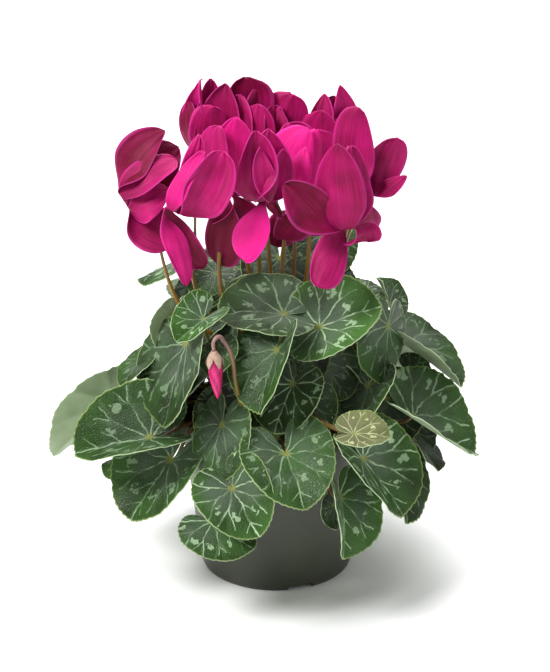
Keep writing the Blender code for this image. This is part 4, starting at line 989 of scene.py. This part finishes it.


# The last number of each petal row is its tone: how light the petal is painted, mostly painted light on lit
# petals and painted shade on petals in shadow.
FLOWERS = [
    bloom(1, (-84, -48, 243), (10, 58), -86, (-56, -33, 178), [
        ((24, -6, 9), 19, (-90, 50), 15, 3, 0.5),
        ((26, -8, -19), 27, (-90, 10), -20, 4, 0.35),
        ((29, 8, 27), 33, (-90, 30), 15, 3, 0.1),
        ((21, 4, 39), 25, (-135, 20), 35, 6, 0.15),
        ((27, -2, 27), 21, (-90, 30), 20, 3, 0.45),
    ], route=[(-70, -40, 247), (-68, -39, 235), (-66, -38, 215)]),
    bloom(2, (-56, -78, 247), (20, 30), 10, (-45, -22, 179), [
        ((16, 4, 39), 17, (-60, 10), 35, 3, 0.6),
        ((16, 6, -36), 17, (-60, 0), 15, 3, 0.1),
        ((9, -2, -43), 14, (-75, 0), -25, 3, 0.7),
        ((14, 0, 34), 13, (-120, 10), 30, 2, 0.75),
        ((28, -4, 33), 28, (-100, 25), 50, 5, 0.5),
    ], route=[(-49, -74, 257), (-45.5, -73, 250), (-44.5, -68, 230)]),
    bloom(3, (-42, 4, 258), (180, 6), 90, (-17, 6, 188), [
        ((-2, -2, 41), 22, (-120, 5), 75, 2, 0.55),
        ((-9, 2, 28), 18, (-150, 0), 25, 4, 0.15),
        ((7, -8, 27), 23, (-80, 15), -25, 3, 0.6),
        ((13, 2, 38), 25, (-60, 5), 40, 5, 0.45),
        ((5, 4, 40), 22, (-70, 0), 75, 2, 0.5),
    ]),
    bloom(4, (-28, -28, 240), (100, 8), 90, (-32, -30, 186), [
        ((5, 2, 43), 30, (-90, 10), -20, 4, 0.95),
        ((-7, -4, 41), 23, (-100, 5), -15, 4, 0.5),
        ((-7, 0, -42), 23, (-90, 0), 20, 2, 0.0),
        ((8, 4, -34), 30, (-90, 0), 20, 2, 0.0),
        ((15, 8, 24), 28, (-90, 5), 10, 4, 0.05),
    ]),
    bloom(5, (-8, -64, 248), (100, 8), 90, (-10, -14, 190), [
        ((4, 6, 38), 31, (-60, 5), 45, 3, 0.5),
        ((-3, -4, 40), 28, (-85, 10), 75, 5, 0.45),
        ((-10, -6, -33), 20, (-100, 0), 15, 2, 1.0),
        ((-1, -9, 32), 13, (-50, 0), 30, 1, 0.5),
        ((12, 2, 28), 23, (-60, 10), 55, 5, 0.6),
    ]),
    bloom(6, (-12, 8, 255), (90, 4), 90, (-4, 10, 188), [
        ((-6, 4, 43), 30, (-100, 10), 25, 4, 0.25),
        ((-10, 0, 34), 18, (-130, 0), 30, 4, 0.45),
        ((1, -6, 30), 26, (-90, 10), -15, 3, 0.5),
        ((11, 2, 27), 22, (-50, 0), 30, 5, 0.2),
        ((4, 6, 38), 26, (-70, 10), 15, 4, 0.3),
    ]),
    bloom(7, (11, 6, 257), (90, 4), 90, (10, 6, 184), [
        ((-2, 4, 31), 29, (-90, 10), -12, 4, 0.45),
        ((-10, 2, 25), 20, (-110, 5), -10, 4, 0.4),
        ((-3, -8, 18), 23, (-90, 20), 20, 2, 0.55),
        ((15, 6, 7), 22, (-80, 10), 10, 3, 0.4),
        ((14, 0, 22), 28, (-80, 15), -15, 4, 0.55),
    ]),
    bloom(8, (7, -40, 243), (70, 10), 90, (3, -10, 184), [
        ((8, 0, 37), 29, (-90, 15), -18, 4, 1.0),
        ((-13, -2, -7), 14, (-90, -10), 15, 1, 0.05),
        ((6, -8, 30), 14, (-110, 10), -20, 2, 0.9),
        ((-6, 8, -31), 21, (-90, 0), 15, 2, 0.1),
        ((18, 6, 34), 27, (-80, 10), -18, 5, 0.9),
    ]),
    bloom(9, (39, -66, 234), (190, 14), 80, (34, -20, 197), [
        ((-17, -8, -32), 20, (-90, 5), -18, 2, 0.45),
        ((-35, -10, 27), 26, (-100, 15), 20, -6, 0.2),
        ((-7, -6, 48), 31, (-100, 10), -25, 3, 0.35),
        ((10, 2, -10), 22, (-80, 0), 20, 2, 0.4),
        ((2, 8, 43), 25, (-60, 0), 25, 4, 0.4),
    ]),
    bloom(10, (34, 24, 251), (90, 4), 90, (30, 2, 190), [
        ((-1, 5, 31), 18, (-90, 0), 30, 3, 0.1),
        ((-6, 0, 34), 19, (-110, 0), 60, 4, 0.45),
        ((0, -8, 21), 21, (-90, 10), 55, 2, 0.4),
        ((8, 0, 25), 17, (-50, 0), 25, 4, 0.5),
        ((4, 2, 38), 20, (-80, 0), 30, 2, 0.6),
    ]),
    bloom(11, (49, -36, 243), (100, 10), 90, (36, -8, 195), [
        ((-11, 6, 36), 25, (-90, 5), 15, 4, 0.45),
        ((-4, 0, 50), 24, (-100, 5), -15, 4, 0.45),
        ((4, 4, -28), 18, (-60, 0), 15, 2, 0.35),
        ((23, -4, 12), 12, (-95, 65), 30, 2, 0.4),
        ((16, 2, 32), 22, (-80, 10), -12, 4, 0.45),
    ]),
    bloom(12, (16, 30, 216), (90, 6), 90, (19, 6, 200), [
        ((-8, 6, 30), 23, (-100, 0), 25, 3, 0.1),
        ((-16, -4, -24), 23, (-90, 0), 15, 3, 0.05),
        ((14, -8, -14), 23, (-90, 0), 15, 3, 0.05),
        ((14, 0, 28), 24, (-70, 0), 25, 4, 0.1),
        ((6, 10, 34), 24, (-90, 0), 25, 4, 0.1),
    ]),
]
print("flowers:", len(FLOWERS))

# %% Petals
MOUTH_RADIUS, HOOK_REACH = 3.9, 6.8
PETAL_START = 36.0            # azimuth of the first petal from the stem
PETAL_REACH = 7.0             # length of the claw that turns down and out of the mouth
PETAL_WIDTH = ((0, 0.2), (0.1, 0.22), (0.25, 0.42), (0.45, 0.82), (0.65, 1.0), (0.82, 0.93), (0.92, 0.74),
               (0.975, 0.48), (1, 0.12))
POINTED_WIDTH = ((0, 0.2), (0.1, 0.22), (0.25, 0.5), (0.45, 0.94), (0.6, 1.0), (0.78, 0.8), (0.9, 0.48),
                 (0.97, 0.22), (1, 0.03))
PETAL_THICK = 0.45            # millimetres
SWAY, RECURVE = 2.2, 14.0     # millimetres: how far a petal bends sideways, and its tip bends back
PETAL_ROWS, PETAL_COLUMNS = 30, 16


def petal_place(flower, number, along, across):
    """A point of a petal: along from 0 to 1, across from -1 to 1."""
    tip, width, look, cup, arch, _ = flower["petals"][number]
    azimuth, (side_on, height) = radians(PETAL_START + 72 * number), [radians(a) for a in look]
    look = Vector((cos(height) * cos(side_on), cos(height) * sin(side_on), sin(height)))
    out = flower["frame"] @ Vector((cos(azimuth), sin(azimuth), 0))
    axis = flower["frame"] @ Vector((0, 0, 1))
    base = flower["mouth"] + out * (MOUTH_RADIUS - 0.5) + axis * 0.4
    end = flower["mouth"] + Vector(tip)
    claw = base + (out * 0.8 - axis * 0.6) * PETAL_REACH
    chord = end - base
    bulge = out - chord * out.dot(chord) / chord.length_squared
    later = base + chord * 0.6 + bulge.normalized() * arch
    rest = 1 - along
    middle = (base * rest ** 3 + claw * 3 * rest ** 2 * along + later * 3 * rest * along ** 2
              + end * along ** 3)
    tangent = (claw - base) * rest ** 2 + (later - claw) * 2 * rest * along + (end - later) * along ** 2
    tangent.normalize()
    # the width starts along the ring of the mouth and turns until the blade looks its own way
    way = flower["frame"] @ Vector((-sin(azimuth), cos(azimuth), 0))
    hand = 1 if way.dot(chord.cross(look)) > 0 else -1
    eased = along * along * (3 - 2 * along)
    way = way.lerp(tangent.cross(look).normalized() * hand, min(1.6 * eased, 1))
    way = (way - tangent * way.dot(tangent)).normalized()
    seed = flower["mouth"].x * 0.37 + number * 2.1
    way = Matrix.Rotation(radians(26) * sin(7 * seed) * eased, 3, tangent) @ way
    face = way.cross(tangent) * hand
    middle += (way * SWAY * sin(5 * seed) * sin(pi * along)
               - face * RECURVE * (1 + sin(3 * seed)) * max(along - 0.55, 0) ** 2)
    blunt = 0.5 + 0.5 * sin(11 * seed)
    half = width / 2 * (blunt * smooth_read(PETAL_WIDTH, along)
                        + (1 - blunt) * smooth_read(POINTED_WIDTH, along))
    half *= 1 + 0.75 * sin(13 * seed) * across * (along - 0.45)
    angle = radians(cup) * eased ** 0.5 + 1e-4
    side = half * sin(angle * across) / angle
    depth = half * (1 - cos(angle * across)) / angle
    # a shallow keel along the middle, a ruffled margin, and faint lengthwise folds
    depth += 0.6 * exp(-(across / 0.16) ** 2) * eased
    depth += 1.7 * sin(7 * along + seed) * abs(across) ** 3 * eased * (1 if across > 0 else -0.8)
    depth += 0.22 * sin(11 * across + 2.5 * sin(3 * along + seed)) * eased
    return middle + way * side + face * depth


def make_petals(flower):
    """Five petals in one mesh, each a grid laid on its own curved place."""
    bm = bmesh.new()
    layer = bm.loops.layers.uv.new("petal")
    luck, tone = bm.verts.layers.float.new("luck"), bm.verts.layers.float.new("tone")
    for number in range(5):
        made = bmesh.ops.create_grid(bm, x_segments=PETAL_ROWS, y_segments=PETAL_COLUMNS, size=1)
        flat = {vert: ((vert.co.x + 1) / 2, vert.co.y) for vert in made["verts"]}
        for vert, (along, across) in flat.items():
            vert[luck] = number + flower["number"] * 5.0
            vert[tone] = flower["petals"][number][5]
            vert.co = petal_place(flower, number, along, across)
        for face in {face for vert in made["verts"] for face in vert.link_faces}:
            for loop in face.loops:
                along, across = flat[loop.vert]
                loop[layer].uv = (along, 0.5 + across / 2)
    return close_mesh(bm, "petals")


def laid_at(flower, mesh):
    mesh.transform(Matrix.Translation(flower["mouth"]) @ flower["frame"].to_4x4())
    return mesh


# %% Tubes, calyces and stems
stems = [(atan2(flower["waist"].y, flower["waist"].x), flower["number"]) for flower in FLOWERS]
BUD_ROUTE = ((-19, -68, 129), (-22.8, -77.5, 147), (-25, -77.5, 162.5), (-29, -79, 171.5), (-32, -82, 175.5),
             (-34.5, -84, 173.5), (-34.5, -84.6, 168.5))
BUD_TIP = (-32.5, -85, 139.5)
stems.append((atan2(BUD_ROUTE[0][1], BUD_ROUTE[0][0]), 99))
stem_azimuth = spread(stems, 3.35 / FLOWER_RING)
TUBE = [(0, 4.5), (2.2, 4.0), (3.1, 1.5), (3.3, 0.2), (3.6, -0.35), (3.95, -0.3), (4.2, 0.4), (4.4, 2.0),
        (4.2, 4.0), (3.3, 6.2), (2.0, 8.2), (0, 8.8)]
for flower in FLOWERS:
    label = f"{flower['number']:02d}"
    petals = finish_piece("petals_" + label, make_petals(flower), [petal_skin])
    thick = petals.modifiers.new("thickness", "SOLIDIFY")
    thick.thickness = PETAL_THICK * MM
    thick.offset = 0
    tube = finish_piece("tube_" + label, laid_at(flower, turned(TUBE, 30, "tube")), [throat_skin])
    bm = bmesh.new()
    for number in range(5):
        made = bmesh.ops.create_grid(bm, x_segments=8, y_segments=6, size=1)
        for vert in made["verts"]:
            along, across = (vert.co.x + 1) / 2, vert.co.y
            width = 1.7 * (1 - along ** 2.2) + 0.1
            turn = radians(72 * number) + across * width / (1.6 + 2.4 * along)
            radius = 0.9 + 3.0 * sin(along * 1.35)
            vert.co = (radius * cos(turn), radius * sin(turn), 9.6 - 4.4 * along ** 1.4)
    calyx = finish_piece("calyx_" + label, laid_at(flower, close_mesh(bm, "calyx")), [calyx_skin])
    thick = calyx.modifiers.new("thickness", "SOLIDIFY")
    thick.thickness = 0.35 * MM
    thick.offset = 0
    hook = [(0, 0, 8), (0.5, 0, 11.2)]
    if not flower["route"]:
        hook += [(3.2, 0, 13.2), (6.0, 0, 11.4), (HOOK_REACH, 0, 5)]
    root = crown_point(stem_azimuth[flower["number"]], FLOWER_RING, STEM_RADIUS)
    points = [flower["mouth"] + flower["frame"] @ Vector(point) for point in hook]
    points += [Vector(point) for point in flower["route"] or ()] + [flower["waist"], root]
    radii = [0.85] * (len(points) - 2) + [STEM_RADIUS * 0.9, STEM_RADIUS]
    mesh = stalk("stem", points, radii, ends=(None, -Vector((root.x * 0.3, root.y * 0.3, 56))))
    stem = finish_piece("stem_" + label, mesh, [stem_skin])
    for piece, slot_name in ((petals, "petal"), (tube, "petal"), (calyx, "flower_stalk"),
                             (stem, "flower_stalk")):
        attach(piece, "root")
        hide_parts("flower_" + label)
print("faces of one flower's petals:", len(petals.data.polygons))

# %% [markdown]
# ## Bud
# The bud hangs from its own hooked stem. Its petals are still rolled round each other into a
# pointed cone, so the cone is turned and its section is twisted into five overlapping folds. Each fold
# is painted lighter across its middle and darker at its edges, where the folds overlap: painted light and
# shade.

# %% Bud
bud_stem, bud_root = [Vector(point) for point in BUD_ROUTE], crown_point(stem_azimuth[99], FLOWER_RING,
                                                                        STEM_RADIUS)
points = [bud_root, bud_root + Vector((-5, -9, 14))] + bud_stem
radii = [1.4] * 3 + [1.2] * (len(points) - 5) + [1.0] * 2
mesh = stalk("bud_stem", points, radii, ends=(Vector((-1, -2, 7)), None))
stem = finish_piece("bud_stem", mesh, [bud_stem_skin])
top, tip = Vector(BUD_ROUTE[-1]), Vector(BUD_TIP)
length = (tip - top).length
turn = Matrix.Translation(top) @ Vector((0, 0, 1)).rotation_difference(tip - top).to_matrix().to_4x4()
profile = [(0, 1.5), (2.2, 2.2), (3.6, 4.5), (4.2, 8), (4.1, 13), (3.6, 17), (2.9, 21), (1.9, 25),
           (0.9, length - 1.5), (0, length)]
mesh = turned(profile, 60, "bud_petals")
# per vertex: lighter across each fold's middle, darker at its edges where the folds overlap, as painted light
# and shade
ridges = []
for vert in mesh.vertices:
    angle, radius = atan2(vert.co.y, vert.co.x), hypot(vert.co.x, vert.co.y)
    fold = (angle / (2 * pi) * 5 + vert.co.z / 14) % 1
    ridges.append(sin(pi * min(fold * 1.15, 1)))
    radius *= 0.86 + 0.18 * fold
    vert.co.x, vert.co.y = radius * cos(angle), radius * sin(angle)
mesh.attributes.new("ridge", "FLOAT", "POINT").data.foreach_set("value", ridges)
mesh.transform(turn)
bud = finish_piece("bud_petals", mesh, [rolled_skin])
bm = bmesh.new()
for number in range(5):
    made = bmesh.ops.create_grid(bm, x_segments=10, y_segments=8, size=1)
    for vert in made["verts"]:
        along, across = (vert.co.x + 1) / 2, vert.co.y
        width = 2.9 * (1 - along ** 2.0) + 0.15
        radius = 1.2 + 3.7 * sin(min(along * 1.9, 1.57))
        angle = radians(72 * number) + across * width / max(radius, 1.5)
        vert.co = (radius * cos(angle), radius * sin(angle), 0.2 + 9.5 * along)
calyx_mesh = close_mesh(bm, "bud_calyx")
calyx_mesh.transform(turn)
calyx = finish_piece("bud_calyx", calyx_mesh, [calyx_skin])
thick = calyx.modifiers.new("thickness", "SOLIDIFY")
thick.thickness = 0.35 * MM
thick.offset = 0
for piece, slot_name in ((stem, "flower_stalk"), (bud, "petal"), (calyx, "flower_stalk")):
    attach(piece, "root")
    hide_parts("bud")
print("bud length:", round(length, 1), "mm")

# %% [markdown]
# ## Measure and finish
# The grown surfaces have to keep to the size of the solids they stand for, so both boxes are
# printed.

# %% Boxes and finish
grown_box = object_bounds()
boxes = [[list(corner) for corner in box] for box in (cad_box, grown_box)]
print("box of the solids and of the grown plant, mm:",
      [[[round(v * 1000, 1) for v in corner] for corner in box] for box in boxes])
